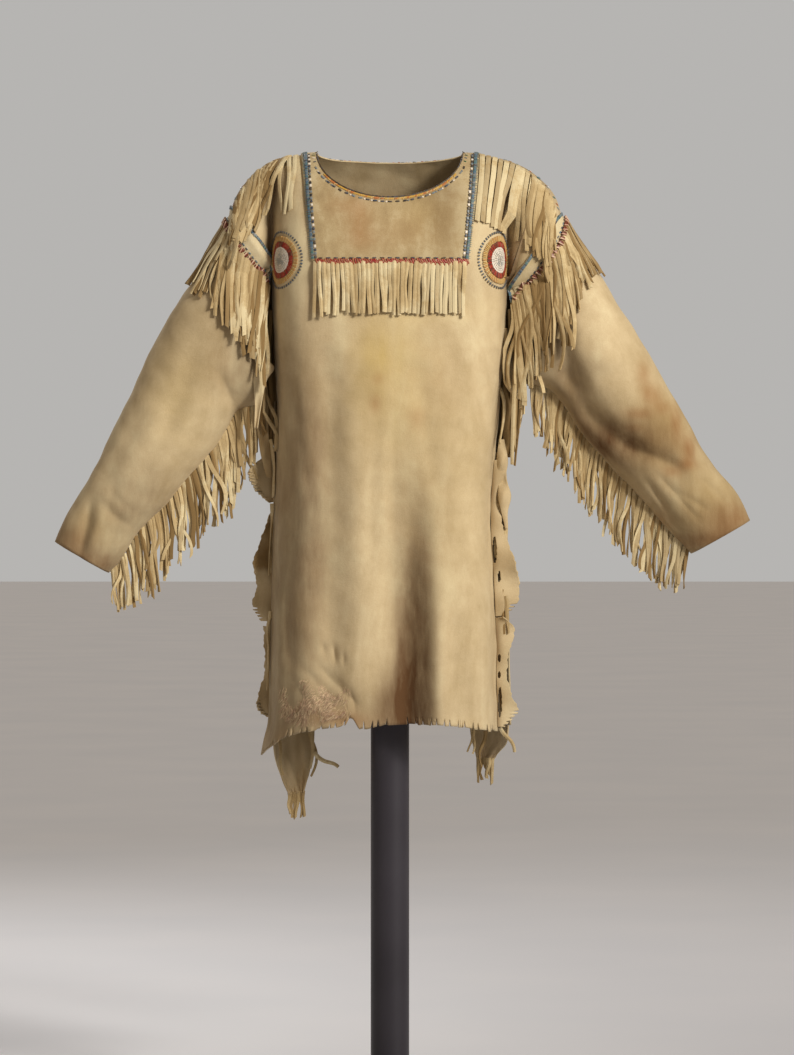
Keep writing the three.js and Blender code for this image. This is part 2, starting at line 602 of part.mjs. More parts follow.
// ---- sleeve fringe ----------------------------------------------------------------------------------------
// It hangs from the sleeve's lower seam; lengths by share of the sleeve's length.
const SLEEVE_FRINGE = [
  { v: 0.1, left: 88, right: 84 },
  { v: 0.3, left: 118, right: 96 },
  { v: 0.6, left: 112, right: 104 },
  { v: 0.85, left: 104, right: 100 },
  { v: 0.98, left: 66, right: 70 },
];
const SLEEVE_FRINGE_THICK = 5;
for (const [name, side] of Object.entries(SIDES)) {
  const fringe = (u, v) => {
    const along = lerp(SLEEVE_FRINGE[0].v, SLEEVE_FRINGE[SLEEVE_FRINGE.length - 1].v, u);
    const seam = sleeves[name](1, along);
    const out = outward(sleeves[name], 1, along);
    seam.addScaledVector(out, LYING);
    seam.y -= SLEEVE_FRINGE_THICK / 2;
    seam.z -= v * sample(SLEEVE_FRINGE, 'v', name, along);
    return seam;
  };
  fringe.lowU = 0;
  fringe.out = -side.sign;
  const flat = () => new THREE.Vector3(0, 1, 0);
  addWall(`sleeve_fringe_${name}`, FRINGE, fringe, steps(0, 1, 12), steps(0, 1, 2),
    { thick: SLEEVE_FRINGE_THICK, turned: flat, clearOf: [clearances[`sleeve_${name}`]] });
}

// ---- side flaps -------------------------------------------------------------------------------------------
const FLAP_ROOT_U = { front: 0.992, back: 0.985 };
for (const [name, { side: sideName, face, rows }] of Object.entries(FLAPS)) {
  const { sign } = SIDES[sideName];
  const hide = face === 'front' ? front : back;
  const lowZ = rows[0].z;
  const highZ = rows[rows.length - 1].z;
  const rootU = sign * FLAP_ROOT_U[face];
  const flap = (u, v) => {
    const z = lerp(highZ, lowZ, v);
    const down = hide.downTo(rootU, z);
    const root = hide(rootU, down).addScaledVector(outward(hide, rootU, down), LYING + GAP);
    root.x += sign * u * sample(rows, 'z', 'reach', z);
    root.y += u ** 2 * sample(rows, 'z', 'swing', z);
    return root;
  };
  flap.lowU = 0;
  flap.out = 1;
  addWall(name, BUCKSKIN, flap, steps(0, 1, 2), steps(0, 1, 6),
    { turned: () => new THREE.Vector3(0, 1, 0), clearOf: [clearances.front_panel, clearances.back_panel] });
}

// ---- leg skins --------------------------------------------------------------------------------------------
for (const [name, rows] of Object.entries(LEG_TABS)) {
  const long = rows[rows.length - 1].down;
  const edgeAt = (edge, down) => sample(rows, 'down', edge, down);
  const across = (u, down) => lerp(edgeAt('inner', down), edgeAt('outer', down), u);
  const tab = (u, v) => {
    const hem = back(across(u, v * long), 1);
    hem.z -= GAP + v * long;
    return hem;
  };
  tab.lowU = 0;
  tab.out = Math.sign(rows[0].inner);
  const hemNormal = (u, v) => outward(back, across(u, v * long), 1);
  addWall(name, BUCKSKIN, tab, steps(0, 1, 5), steps(0, 1, 5), { turned: hemNormal });
}

// ---- the stand --------------------------------------------------------------------------------------------
const FORM_CLEAR = 0.4;         // between the form's shoulders and the hide that rests on them
const FORM_SPOTS = 24;          // points round each section
const FORM_WIDEST_RAISED = 60;  // how far the widest height of a deep section lies above its middle
const FORM_SQUARE = 0.5;        // how square a section is below its widest height
function formSection(row, sign) {
  const side = sign < 0 ? SIDES.left : SIDES.right;
  const top = row.top ?? ridge(row.x, side) - FORM_CLEAR;
  const halfWay = (top + row.bottom) / 2;
  const middle = Math.max(halfWay, Math.min(CHEST_Z, halfWay + FORM_WIDEST_RAISED));
  return Array.from({ length: FORM_SPOTS }, (_, i) => {
    const turn = 2 * Math.PI * i / FORM_SPOTS;
    const depth = Math.sin(turn) > 0 ? row.front : row.back;
    const upper = Math.cos(turn) >= 0;
    const square = upper ? 1 : FORM_SQUARE;
    const rise = Math.abs(Math.cos(turn)) ** square * (upper ? top - middle : row.bottom - middle);
    const reach = Math.sign(Math.sin(turn)) * Math.abs(Math.sin(turn)) ** square * depth;
    return new THREE.Vector3(sign * row.x, -reach, middle + rise);
  });
}
const sections = [
  ...FORM.slice(1).map((row) => formSection(row, -1)).reverse(),
  ...FORM.map((row) => formSection(row, 1)),
];

// A lofted solid through closed sections, with a fan over each end.
function loft(rings) {
  const count = rings[0].length;
  const points = rings.flat();
  const faces = [];
  for (let ring = 0; ring < rings.length - 1; ring += 1) {
    for (let i = 0; i < count; i += 1) {
      const [a, b] = [ring * count + i, ring * count + (i + 1) % count];
      faces.push(a, b, b + count, a, b + count, a + count);
    }
  }
  for (const [ring, reverse] of [[0, true], [rings.length - 1, false]]) {
    const centre = rings[ring].reduce((sum, p) => sum.add(p), new THREE.Vector3()).divideScalar(count);
    points.push(centre);
    for (let i = 0; i < count; i += 1) {
      const [a, b] = [ring * count + i, ring * count + (i + 1) % count];
      faces.push(points.length - 1, reverse ? b : a, reverse ? a : b);
    }
  }
  return { points, faces };
}
addSolid('stand_form', FORM_COVER,
  cutClear(loft(sections), [clearances.front_panel, clearances.back_panel]));

function addTurned(name, profile, segments) {
  const geometry = new THREE.LatheGeometry(profile.map(([r, z]) => new THREE.Vector2(r, z)), segments);
  const mesh = new THREE.Mesh(geometry, STAND_PAINT);
  mesh.rotation.x = Math.PI / 2;
  mesh.name = name;
  shirt.add(mesh);
}
addTurned('stand_base', [[0, 0], [BASE_RADIUS, 0], [BASE_RADIUS, BASE_THICK - BASE_CHAMFER],
  [BASE_RADIUS - BASE_CHAMFER, BASE_THICK], [0, BASE_THICK]], 64);
addTurned('stand_column', [[0, BASE_THICK + GAP], [COLUMN_RADIUS, BASE_THICK + GAP],
  [COLUMN_RADIUS, FORM_BOTTOM_Z - GAP], [0, FORM_BOTTOM_Z - GAP]], 40);

export default shirt;
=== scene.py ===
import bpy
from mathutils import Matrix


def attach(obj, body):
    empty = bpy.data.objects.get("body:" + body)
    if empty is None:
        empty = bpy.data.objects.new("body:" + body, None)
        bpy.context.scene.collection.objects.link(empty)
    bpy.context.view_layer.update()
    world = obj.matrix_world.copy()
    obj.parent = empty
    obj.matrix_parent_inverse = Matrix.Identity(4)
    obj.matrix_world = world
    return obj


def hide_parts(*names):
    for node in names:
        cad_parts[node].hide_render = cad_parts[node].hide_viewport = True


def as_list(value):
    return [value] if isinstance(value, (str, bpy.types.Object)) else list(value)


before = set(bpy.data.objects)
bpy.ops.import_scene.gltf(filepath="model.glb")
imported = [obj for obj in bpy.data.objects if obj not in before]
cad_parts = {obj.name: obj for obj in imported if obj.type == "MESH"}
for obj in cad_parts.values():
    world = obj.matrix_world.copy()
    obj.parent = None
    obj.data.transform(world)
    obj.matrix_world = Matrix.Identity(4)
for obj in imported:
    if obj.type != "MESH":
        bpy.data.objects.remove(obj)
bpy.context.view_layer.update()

import math
import random

import bmesh
import bpy
import numpy as np
from mathutils import Matrix, Vector
from mathutils.bvhtree import BVHTree

# ---- the room ---------------------------------------------------------------------------------------------
# A plain pale floor under soft studio light: a broad key from the right and above, a weak fill from the left.
# The camera stands level in front of the shirt, with a long lens.
MM = 0.001
CAMERA_AWAY = 6.0
FRAME_TALL = 1.635              # height of the picture at the shirt
CAMERA_AT = (0.011, -CAMERA_AWAY - 0.04, 0.9225)
FLOOR_HALF = 60
SPOT_CONE = math.radians(31)


def table(columns, *rows):
    """Rows with named columns."""
    return [dict(zip(columns.split(), row)) for row in rows]


def linear(colour):
    """The linear values of an sRGB hex colour."""
    parts = [(colour >> shift & 255) / 255 for shift in (16, 8, 0)]
    return [p / 12.92 if p <= 0.04045 else ((p + 0.055) / 1.055) ** 2.4 for p in parts] + [1.0]


def connect(material, made, inputs):
    """Sets a node's sockets: a socket is linked, and anything else is its value."""
    for key, value in inputs.items():
        if isinstance(value, bpy.types.NodeSocket):
            material.node_tree.links.new(value, made.inputs[key])
        else:
            made.inputs[key].default_value = value


def add_node(material, kind, settings, inputs, stops=()):
    """Adds a node with its settings, links and, on a ramp, its stops."""
    made = material.node_tree.nodes.new(kind)
    for key, value in settings.items():
        setattr(made, key, value)
    for number, (place, colour) in enumerate(stops):
        elements = made.color_ramp.elements
        element = elements[number] if number < 2 else elements.new(place)
        element.position = place
        element.color = linear(colour)
    connect(material, made, inputs)
    return made


def new_material(name):
    made = bpy.data.materials.new(name)
    made.use_nodes = True
    return made, made.node_tree.nodes["Principled BSDF"]


def new_piece(name, mesh, material):
    piece = bpy.data.objects.new(name, mesh)
    bpy.context.collection.objects.link(piece)
    mesh.materials.append(material)
    mesh.shade_smooth()
    return piece


def from_bmesh(name, bm, material):
    mesh = bpy.data.meshes.new(name)
    bm.to_mesh(mesh)
    bm.free()
    return new_piece(name, mesh, material)


floor_paint, shader = new_material("matt_studio_floor")
spots = add_node(floor_paint, "ShaderNodeTexCoord", {}, {})
cloudy = add_node(floor_paint, "ShaderNodeTexNoise", {}, {"Vector": spots.outputs["Object"], "Scale": 1.5})
tint = add_node(floor_paint, "ShaderNodeValToRGB", {}, {"Fac": cloudy.outputs["Fac"]},
                [(0.3, 0xECEFF7), (0.7, 0xF1F3FA)])
connect(floor_paint, shader, {"Base Color": tint.outputs["Color"], "Roughness": 0.95})
bm = bmesh.new()
bmesh.ops.create_grid(bm, x_segments=1, y_segments=1, size=FLOOR_HALF)
floor = from_bmesh("floor", bm, floor_paint)

world = bpy.data.worlds.new("studio")
bpy.context.scene.world = world
world.use_nodes = True
sky = world.node_tree.nodes["Background"]
seen = add_node(world, "ShaderNodeLightPath", {}, {}).outputs["Is Camera Ray"]
bright = add_node(world, "ShaderNodeMapRange", {}, {"Value": seen, "To Min": 0.23, "To Max": 0.63})
warm = add_node(world, "ShaderNodeMix", {"data_type": "RGBA", "blend_type": "MIX"},
                {0: seen, 6: linear(0xEFD9BE), 7: linear(0xE0DEDB)})
connect(world, sky, {"Color": warm.outputs[2], "Strength": bright.outputs["Result"]})

LAMPS = table(
    "name kind at to soft power colour",
    ("key", "SUN", (4.6, -4.6, 4.2), (0, 0, 1.1), 0.4, 1.75, 0xFFFBF4),
    ("pool", "SPOT", (2.3, -3.0, 2.7), (0.03, 0, 1.24), 0.35, 368, 0xFFF8EC),
    ("fill", "AREA", (-3.0, -4.2, 2.2), (0, 0, 1.2), 2.4, 8, 0xFDE8CC),
    ("rim", "AREA", (-1.6, 2.6, 3.2), (0, 0, 1.2), 1.4, 40, 0xFFFFFF))
SOFT = {"SUN": "angle", "SPOT": "shadow_soft_size", "AREA": "size"}
for lamp in LAMPS:
    light = bpy.data.lights.new(lamp["name"], lamp["kind"])
    setattr(light, SOFT[lamp["kind"]], lamp["soft"])
    if lamp["kind"] == "SPOT":
        light.spot_size, light.spot_blend = SPOT_CONE, 1.0
    light.energy = lamp["power"]
    light.color = linear(lamp["colour"])[:3]
    stand = bpy.data.objects.new(lamp["name"], light)
    stand.location = lamp["at"]
    stand.rotation_euler = (Vector(lamp["to"]) - Vector(lamp["at"])).to_track_quat("-Z", "Y").to_euler()
    bpy.context.collection.objects.link(stand)

camera = bpy.data.objects.new("camera", bpy.data.cameras.new("camera"))
camera.data.sensor_width = 36
camera.data.lens = camera.data.sensor_width * CAMERA_AWAY / FRAME_TALL
camera.location = CAMERA_AT
camera.rotation_euler = (math.pi / 2, 0, 0)
bpy.context.collection.objects.link(camera)
bpy.context.scene.camera = camera
bpy.context.scene.view_settings.view_transform = "Standard"

# ---- base and column --------------------------------------------------------------------------------------
# A turned steel plate and a steel tube, powder coated in a dark satin grey that shades to lavender in the
# light. The tube is welded to the plate and carries the form.
BASE_RADIUS = 200
BASE_THICK = 12
COLUMN_RADIUS = 30
COLUMN_TOP = 1049.7
SEAT_GAP = 0.3
ROUND_STEPS = 96

powder_coat, shader = new_material("satin_powder_coat")
spots = add_node(powder_coat, "ShaderNodeTexCoord", {}, {})
peel = add_node(powder_coat, "ShaderNodeTexNoise", {},
                {"Vector": spots.outputs["Object"], "Scale": 900.0, "Detail": 2.0})  # about 1 mm orange peel
cloudy = add_node(powder_coat, "ShaderNodeTexNoise", {}, {"Vector": spots.outputs["Object"], "Scale": 6.0})
tint = add_node(powder_coat, "ShaderNodeValToRGB", {}, {"Fac": cloudy.outputs["Fac"]},
                [(0.35, 0x333036), (0.7, 0x3D3A41)])
relief = add_node(powder_coat, "ShaderNodeBump", {},
                  {"Strength": 0.06, "Distance": 0.0005, "Height": peel.outputs["Fac"]})
connect(powder_coat, shader, {"Base Color": tint.outputs["Color"], "Roughness": 0.44, "Metallic": 0.0,
                              "Specular IOR Level": 0.28, "Normal": relief.outputs["Normal"]})


def turned(name, profile, material):
    """A piece turned on the column's axis from a profile of (radius, height)."""
    bm = bmesh.new()
    spots = [bm.verts.new((radius * MM, 0, height * MM)) for radius, height in profile]
    edges = [bm.edges.new(pair) for pair in zip(spots, spots[1:])]
    bmesh.ops.spin(bm, geom=spots + edges, cent=(0, 0, 0), axis=(0, 0, 1), angle=2 * math.pi,
                   steps=ROUND_STEPS, use_merge=True)
    bmesh.ops.remove_doubles(bm, verts=bm.verts, dist=1e-6)
    bmesh.ops.recalc_face_normals(bm, faces=bm.faces)
    return from_bmesh(name, bm, material)


def finish_piece(piece, slot, *nodes):
    """Every piece rides on the one body and stands for its plain solids; its finish, `slot`, is not used."""
    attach(piece, "root")
    if nodes:
        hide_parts(*nodes)


plate = turned("base_plate", [(0, 0), (BASE_RADIUS - 1, 0), (BASE_RADIUS, 1), (BASE_RADIUS, BASE_THICK - 2.4),
                              (BASE_RADIUS - 0.7, BASE_THICK - 0.7), (BASE_RADIUS - 2.4, BASE_THICK),
                              (0, BASE_THICK)], powder_coat)
foot = BASE_THICK + SEAT_GAP
tube = turned("column_tube", [(0, foot), (COLUMN_RADIUS + 3, foot), (COLUMN_RADIUS + 3, foot + 1.5),
                              (COLUMN_RADIUS, foot + 4), (COLUMN_RADIUS, 400), (COLUMN_RADIUS, 700),
                              (COLUMN_RADIUS, COLUMN_TOP - 1), (COLUMN_RADIUS - 1, COLUMN_TOP),
                              (0, COLUMN_TOP)], powder_coat)
for piece, node in ((plate, "stand_base"), (tube, "stand_column")):
    edge = piece.modifiers.new("edge", "WEIGHTED_NORMAL")
    edge.keep_sharp = True
    finish_piece(piece, "stand_paint", node)

# ---- shoulder form ----------------------------------------------------------------------------------------
# A carved foam block under a stretched cotton knit, plain brown-grey, that fills the chest and reaches into
# the shoulders. The hides hang over it, and it hardly shows.
knit_cover, shader = new_material("cotton_knit_cover")
spots = add_node(knit_cover, "ShaderNodeTexCoord", {}, {})
ribs = add_node(knit_cover, "ShaderNodeTexWave", {"bands_direction": "X"},
                {"Vector": spots.outputs["Object"], "Scale": 160.0, "Distortion": 1.5})  # 2 mm ribs
tint = add_node(knit_cover, "ShaderNodeValToRGB", {}, {"Fac": ribs.outputs["Fac"]},
                [(0.2, 0x5F5646), (0.8, 0x756A56)])
relief = add_node(knit_cover, "ShaderNodeBump", {},
                  {"Strength": 0.4, "Distance": 0.0006, "Height": ribs.outputs["Fac"]})
connect(knit_cover, shader, {"Base Color": tint.outputs["Color"], "Roughness": 0.95,
                             "Normal": relief.outputs["Normal"]})
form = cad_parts["stand_form"]
for place in form.material_slots:
    place.material = knit_cover

# ---- back and front hides ---------------------------------------------------------------------------------
# Two brain-tanned hides, about 2 mm thick, sewn to each other along the shoulder ridge and left open at the
# sides. They hang from the form in long soft folds. Below the hems the leg skins are left on.
HIDE = 2.2
GAP = 0.3
SHOULDER_Z = 1503
RIDGE_END_Z = 1407
CHEST_Z = 1325
NECK_HALF = 112
NECK_RISE = 7
NECK_U = 0.6
BIB_U = 0.65
KNEE_V = 0.4
TROUGH_FADES_LOW = 60
FOLD_FADES_FROM_Z = 1400
FOLD_GONE_Z = 1480
SIDES = {
    "left": {"sign": -1, "shoulder": 245, "seam_z": 1322, "armpit_z": 1126},
    "right": {"sign": 1, "shoulder": 263, "seam_z": 1288, "armpit_z": 1152},
}
WIDTHS = table(
    "z front_left front_right back_left back_right",
    (460, 204, 167, 190, 192),
    (568, 200, 167, 188, 190),
    (618, 189, 166, 186, 188),
    (790, 184, 163, 183, 184),
    (950, 179, 156, 181, 181),
    (1100, 175, 168, 180, 180),
    (1200, 178, 176, 181, 181),
    (1325, 183, 183, 183, 183))
DEPTHS = table(
    "z front back edge",
    (460, 112, 104, 0.05), (620, 112, 104, 0.05), (900, 108, 98, 0.05), (1100, 110, 95, 0.08),
    (1200, 112, 96, 0.24), (1325, 106, 98, 0.26))
# Share of the depth by share of the half width; past 1 lies the shoulder cap, beyond the fold at the arm.
SECTION = table(
    "at folded plain",
    (0, 1, 1), (0.3, 0.985, 0.985), (0.55, 0.94, 0.95), (0.75, 0.83, 0.88), (0.85, 0.67, 0.83),
    (0.93, 0.44, 0.78), (1, 0, 0.74), (1.06, 0.16, 0.7), (1.15, 0.34, 0.65), (1.45, 0.42, 0.56))
# Long soft troughs, and ridges where the depth is below 0.
FOLD = "x top fade bottom half depth"
FRONT_FOLDS = table(
    FOLD,
    (25, 1060, 330, 600, 31, 30),
    (76, 960, 260, 600, 14, -6),
    (4, 1150, 240, 760, 12, 3),
    (-92, 1270, 160, 690, 26, 12),
    (-48, 1150, 160, 700, 22, -3),
    (112, 1150, 240, 640, 26, 6),
    (-152, 1200, 240, 640, 18, 6))
BACK_FOLDS = table(
    FOLD,
    (-60, 1180, 200, 600, 30, 14),
    (70, 1080, 260, 600, 34, 16),
    (6, 1240, 120, 600, 26, -5),
    (128, 1200, 160, 600, 20, 7),
    (-126, 1120, 160, 600, 22, 8))
FRONT_HEM = table(
    "u z",
    (-1, 568), (-0.9, 588), (-0.78, 603), (-0.6, 611), (-0.38, 618), (-0.31, 630), (-0.24, 613), (0, 619),
    (0.6, 616), (1, 605))
BACK_HEM = table("u z", (-1, 612), (0, 624), (1, 614))
# Short creases from one place to another, pressed in where the hide bunches or was once folded.
CREASE = "x0 z0 x1 z1 half depth"
FRONT_CREASES = table(
    CREASE,
    (-104, 744, -101, 730, 4.5, 2.6),
    (-85, 740, -82, 716, 4.5, 3.4),
    (-70, 730, -68, 712, 3.5, 2.2),
    (-134, 706, -92, 668, 5, 2.0),
    (-112, 712, -62, 662, 5, 2.4),
    (-84, 694, -46, 648, 5, 2.0),
    (-150, 690, -120, 652, 5, 1.8),
    (-118, 690, -100, 652, 4, 1.6),
    (-96, 676, -70, 664, 4, -1.6),
    (-60, 676, -52, 640, 4, 1.8),
    (-160, 1180, -120, 960, 9, 2.2),
    (150, 1260, 128, 1050, 10, 3.0),
    (168, 1240, 150, 1120, 7, 3.2),
    (40, 1180, 70, 980, 14, 1.8),
    (-20, 1120, -30, 860, 12, 1.6),
    (96, 800, 90, 660, 9, 2.4),
    (130, 720, 40, 700, 8, 1.0),
    (-168, 900, -150, 700, 7, 2.4))
BACK_CREASES = table(
    CREASE,
    (-30, 1380, -80, 1180, 12, 3.0),
    (40, 1370, 96, 1150, 12, 3.4),
    (150, 1240, 120, 1040, 9, 3.0),
    (-150, 1250, -120, 1060, 9, 2.6),
    (-40, 900, -20, 680, 10, 2.6),
    (104, 820, 112, 660, 8, 2.8),
    (20, 1060, 30, 860, 12, 2.0))


def sample(table, key, name, at):
    """One column of a table at any places along its key, on a smooth curve through the rows."""
    keys = np.array([row[key] for row in table], float)
    values = np.array([row[name] for row in table], float)
    last = len(table) - 1
    before, after = np.maximum(np.arange(last + 1) - 1, 0), np.minimum(np.arange(last + 1) + 1, last)
    slopes = (values[after] - values[before]) / (keys[after] - keys[before])
    at = np.clip(np.asarray(at, float), keys[0], keys[-1])
    i = np.clip(np.searchsorted(keys, at, side="right") - 1, 0, last - 1)
    span = keys[i + 1] - keys[i]
    s = (at - keys[i]) / span
    return ((2 * s ** 3 - 3 * s ** 2 + 1) * values[i] + (s ** 3 - 2 * s ** 2 + s) * span * slopes[i]
            + (3 * s ** 2 - 2 * s ** 3) * values[i + 1] + (s ** 3 - s ** 2) * span * slopes[i + 1])


def smoothstep(at, low, high):
    s = np.clip((at - low) / (high - low), 0, 1)
    return s * s * (3 - 2 * s)


def lerp(a, b, share):
    return a + (b - a) * share


def fold_depth(folds, x, z):
    """Depth of the long folds at a place."""
    total = 0
    for fold in folds:
        low = smoothstep(z, fold["bottom"] - TROUGH_FADES_LOW, fold["bottom"])
        high = 1 - smoothstep(z, fold["top"] - fold["fade"], fold["top"])
        total = total + fold["depth"] * low * high * np.exp(-(((x - fold["x"]) / fold["half"]) ** 2))
    return total


def crease_depth(creases, x, z):
    """Depth of the short creases at a place: each runs out softly at both ends."""
    total = 0
    for crease in creases:
        run = np.array([crease["x1"] - crease["x0"], crease["z1"] - crease["z0"]], float)
        long = np.hypot(*run)
        dx, dz = x - crease["x0"], z - crease["z0"]
        along = (dx * run[0] + dz * run[1]) / long ** 2
        off = (dx * run[1] - dz * run[0]) / long
        ends = smoothstep(along, -0.25, 0.3) * (1 - smoothstep(along, 0.7, 1.25))
        total = total + crease["depth"] * ends * np.exp(-((off / crease["half"]) ** 2))
    return total


def make_hide(name, facing, neck_drop, hem, folds, creases):
    """A hide as a function of two shares: across from -1 to 1, and down from 0 at the ridge to 1 at the hem.

    `facing` is the way it faces along Y, and `neck_drop` is how far the neck is scooped below the ridge.
    """
    def of_side(u, key):
        return np.where(u < 0, SIDES["left"][key], SIDES["right"][key])

    def knee_z(u):
        return lerp(CHEST_Z, of_side(u, "seam_z"), smoothstep(np.abs(u), BIB_U, 1))

    def width_at(u, z):
        left = sample(WIDTHS, "z", name + "_left", z)
        return np.where(u < 0, left, sample(WIDTHS, "z", name + "_right", z))

    def top_line(u):
        across = np.abs(u)
        turn = math.pi / 2 * np.minimum(across / NECK_U, 1)
        neck = NECK_HALF * np.sin(turn), SHOULDER_Z - neck_drop * np.cos(turn)
        turn = math.pi / 2 * np.clip((across - NECK_U) / (1 - NECK_U), 0, 1)
        ridge = (lerp(NECK_HALF, of_side(u, "shoulder"), np.sin(turn)),
                 lerp(RIDGE_END_Z, SHOULDER_Z, np.cos(turn)))
        return [np.where(across < NECK_U, a, b) for a, b in zip(neck, ridge)]

    def ridge_z(u, x):
        share = np.clip((x - NECK_HALF) / (of_side(u, "shoulder") - NECK_HALF), 0, 1)
        beside = RIDGE_END_Z + (SHOULDER_Z - RIDGE_END_Z) * np.sqrt(1 - share ** 2)
        over = SHOULDER_Z + NECK_RISE * np.cos(math.pi / 2 * x / NECK_HALF) ** 2
        return np.where(x <= NECK_HALF, over, beside)

    def depth_at(x, z, width):
        edge = sample(DEPTHS, "z", "edge", z)
        folded = edge + (1 - edge) * sample(SECTION, "at", "folded", x / width)
        plain = sample(SECTION, "at", "plain", x / width)
        faded = smoothstep(z, FOLD_FADES_FROM_Z, FOLD_GONE_Z)
        return sample(DEPTHS, "z", name, z) * lerp(folded, plain, faded)

    def hide(u, v):
        u, v = np.broadcast_arrays(np.asarray(u, float), np.asarray(v, float))
        sign, knee = np.where(u < 0, -1, 1), knee_z(u)
        eased = 1 - np.cos(math.pi / 2 * np.minimum(v / KNEE_V, 1))
        top_x, top_z = top_line(u)
        x = lerp(top_x, width_at(u, knee) * np.abs(u), eased)
        z = lerp(top_z, knee, eased)
        lift = np.clip((z - knee) / (ridge_z(u, x) - knee), 0, 1)
        upper = x, depth_at(x, z, width_at(u, knee)) * np.sqrt(1 - lift ** 2), z
        z = lerp(knee, sample(hem, "u", "z", u), np.clip((v - KNEE_V) / (1 - KNEE_V), 0, 1))
        width = width_at(u, z)
        x = width * np.abs(u)
        lower = x, depth_at(x, z, width) - fold_depth(folds, sign * x, z), z
        x, y, z = [np.where(v < KNEE_V, a, b) for a, b in zip(upper, lower)]
        y = y - crease_depth(creases, sign * x, z) * smoothstep(y, 8, 40)
        return np.stack([sign * x, facing * (y + GAP / 2), z], -1)

    def down_to(u, z):
        """The share down at which a column reaches a height."""
        knee = knee_z(u)
        low = KNEE_V + (1 - KNEE_V) * (knee - z) / (knee - sample(hem, "u", "z", u))
        high = KNEE_V * np.arccos(np.clip((z - knee) / (top_line(u)[1] - knee), 0, 1)) * 2 / math.pi
        return np.where(z < knee, low, high)

    def at_place(x, z):
        """The shares of the place at a distance across and a height."""
        low, high, sign = np.zeros_like(x), np.ones_like(x), np.where(x < 0, -1, 1)
        for _ in range(18):
            middle = sign * (low + high) / 2
            short = np.abs(hide(middle, down_to(middle, z))[..., 0]) < np.abs(x)
            low, high = np.where(short, np.abs(middle), low), np.where(short, high, np.abs(middle))
        return sign * low, down_to(sign * low, z)

    hide.low_u, hide.out, hide.down_to, hide.at_place = -1, facing, down_to, at_place
    return hide


def outward(surface, u, v):
    """Unit vectors that point out of a surface."""
    step = 2e-3
    u, v = np.broadcast_arrays(np.asarray(u, float), np.asarray(v, float))
    along_u = surface(np.minimum(u + step, 1), v) - surface(np.maximum(u - step, surface.low_u), v)
    along_v = surface(u, np.minimum(v + step, 1)) - surface(u, np.maximum(v - step, 0))
    normal = np.cross(along_u, along_v) * surface.out
    return normal / np.maximum(np.linalg.norm(normal, axis=-1, keepdims=True), 1e-9)


# Gentle lumps that no hand-dried hide is without: a few waves of 30 to 90 mm in mixed directions.
lumps_random = random.Random(4)
LUMPS = [[lumps_random.uniform(-1, 1) for _ in range(3)] + [lumps_random.uniform(30, 90),
         lumps_random.uniform(0, 6.28)] for _ in range(14)]


def lumps(points, high):
    total = 0
    for x, y, z, wave, phase in LUMPS:
        way = np.array([x, y, z]) / math.sqrt(x * x + y * y + z * z)
        total = total + np.sin(points @ way * 2 * math.pi / wave + phase)
    return total[..., None] * high / math.sqrt(len(LUMPS))


def lay_out(name, cells, place, material, wall=HIDE):
    """A sheet from a flat grid of cells, each point put in its place; the wall lies inside its faces."""
    bm = bmesh.new()
    bmesh.ops.create_grid(bm, x_segments=cells[0], y_segments=cells[1], size=0.5)
    mesh = bpy.data.meshes.new(name)
    bm.to_mesh(mesh)
    bm.free()
    flat = np.empty(len(mesh.vertices) * 3)
    mesh.vertices.foreach_get("co", flat)
    shares = flat.reshape(-1, 3) + 0.5
    points, normals = place(shares[:, 0], 1 - shares[:, 1])
    mesh.vertices.foreach_set("co", (points * MM).ravel())
    mesh.update()
    turned_in = sum(Vector(normals[p.vertices[0]]).dot(p.normal) for p in list(mesh.polygons)[::7]) < 0
    if turned_in:
        mesh.flip_normals()
    piece = new_piece(name, mesh, material)
    if wall:
        thicken(piece, wall)
    return piece


def thicken(piece, wall):
    """Gives a sheet its thickness, inwards from its faces."""
    shell = piece.modifiers.new("wall", "SOLIDIFY")
    shell.thickness = wall * MM
    shell.offset = -1
    shell.use_even_offset = True
    shell.use_quality_normals = True


def mark(piece, name, values):
    """Stores one number for each point of a piece, which its material reads."""
    layer = piece.data.attributes.new(name, "FLOAT", "POINT")
    layer.data.foreach_set("value", np.ascontiguousarray(values, dtype=np.float32))


def points_of(piece):
    flat = np.empty(len(piece.data.vertices) * 3)
    piece.data.vertices.foreach_get("co", flat)
    return flat.reshape(-1, 3) / MM
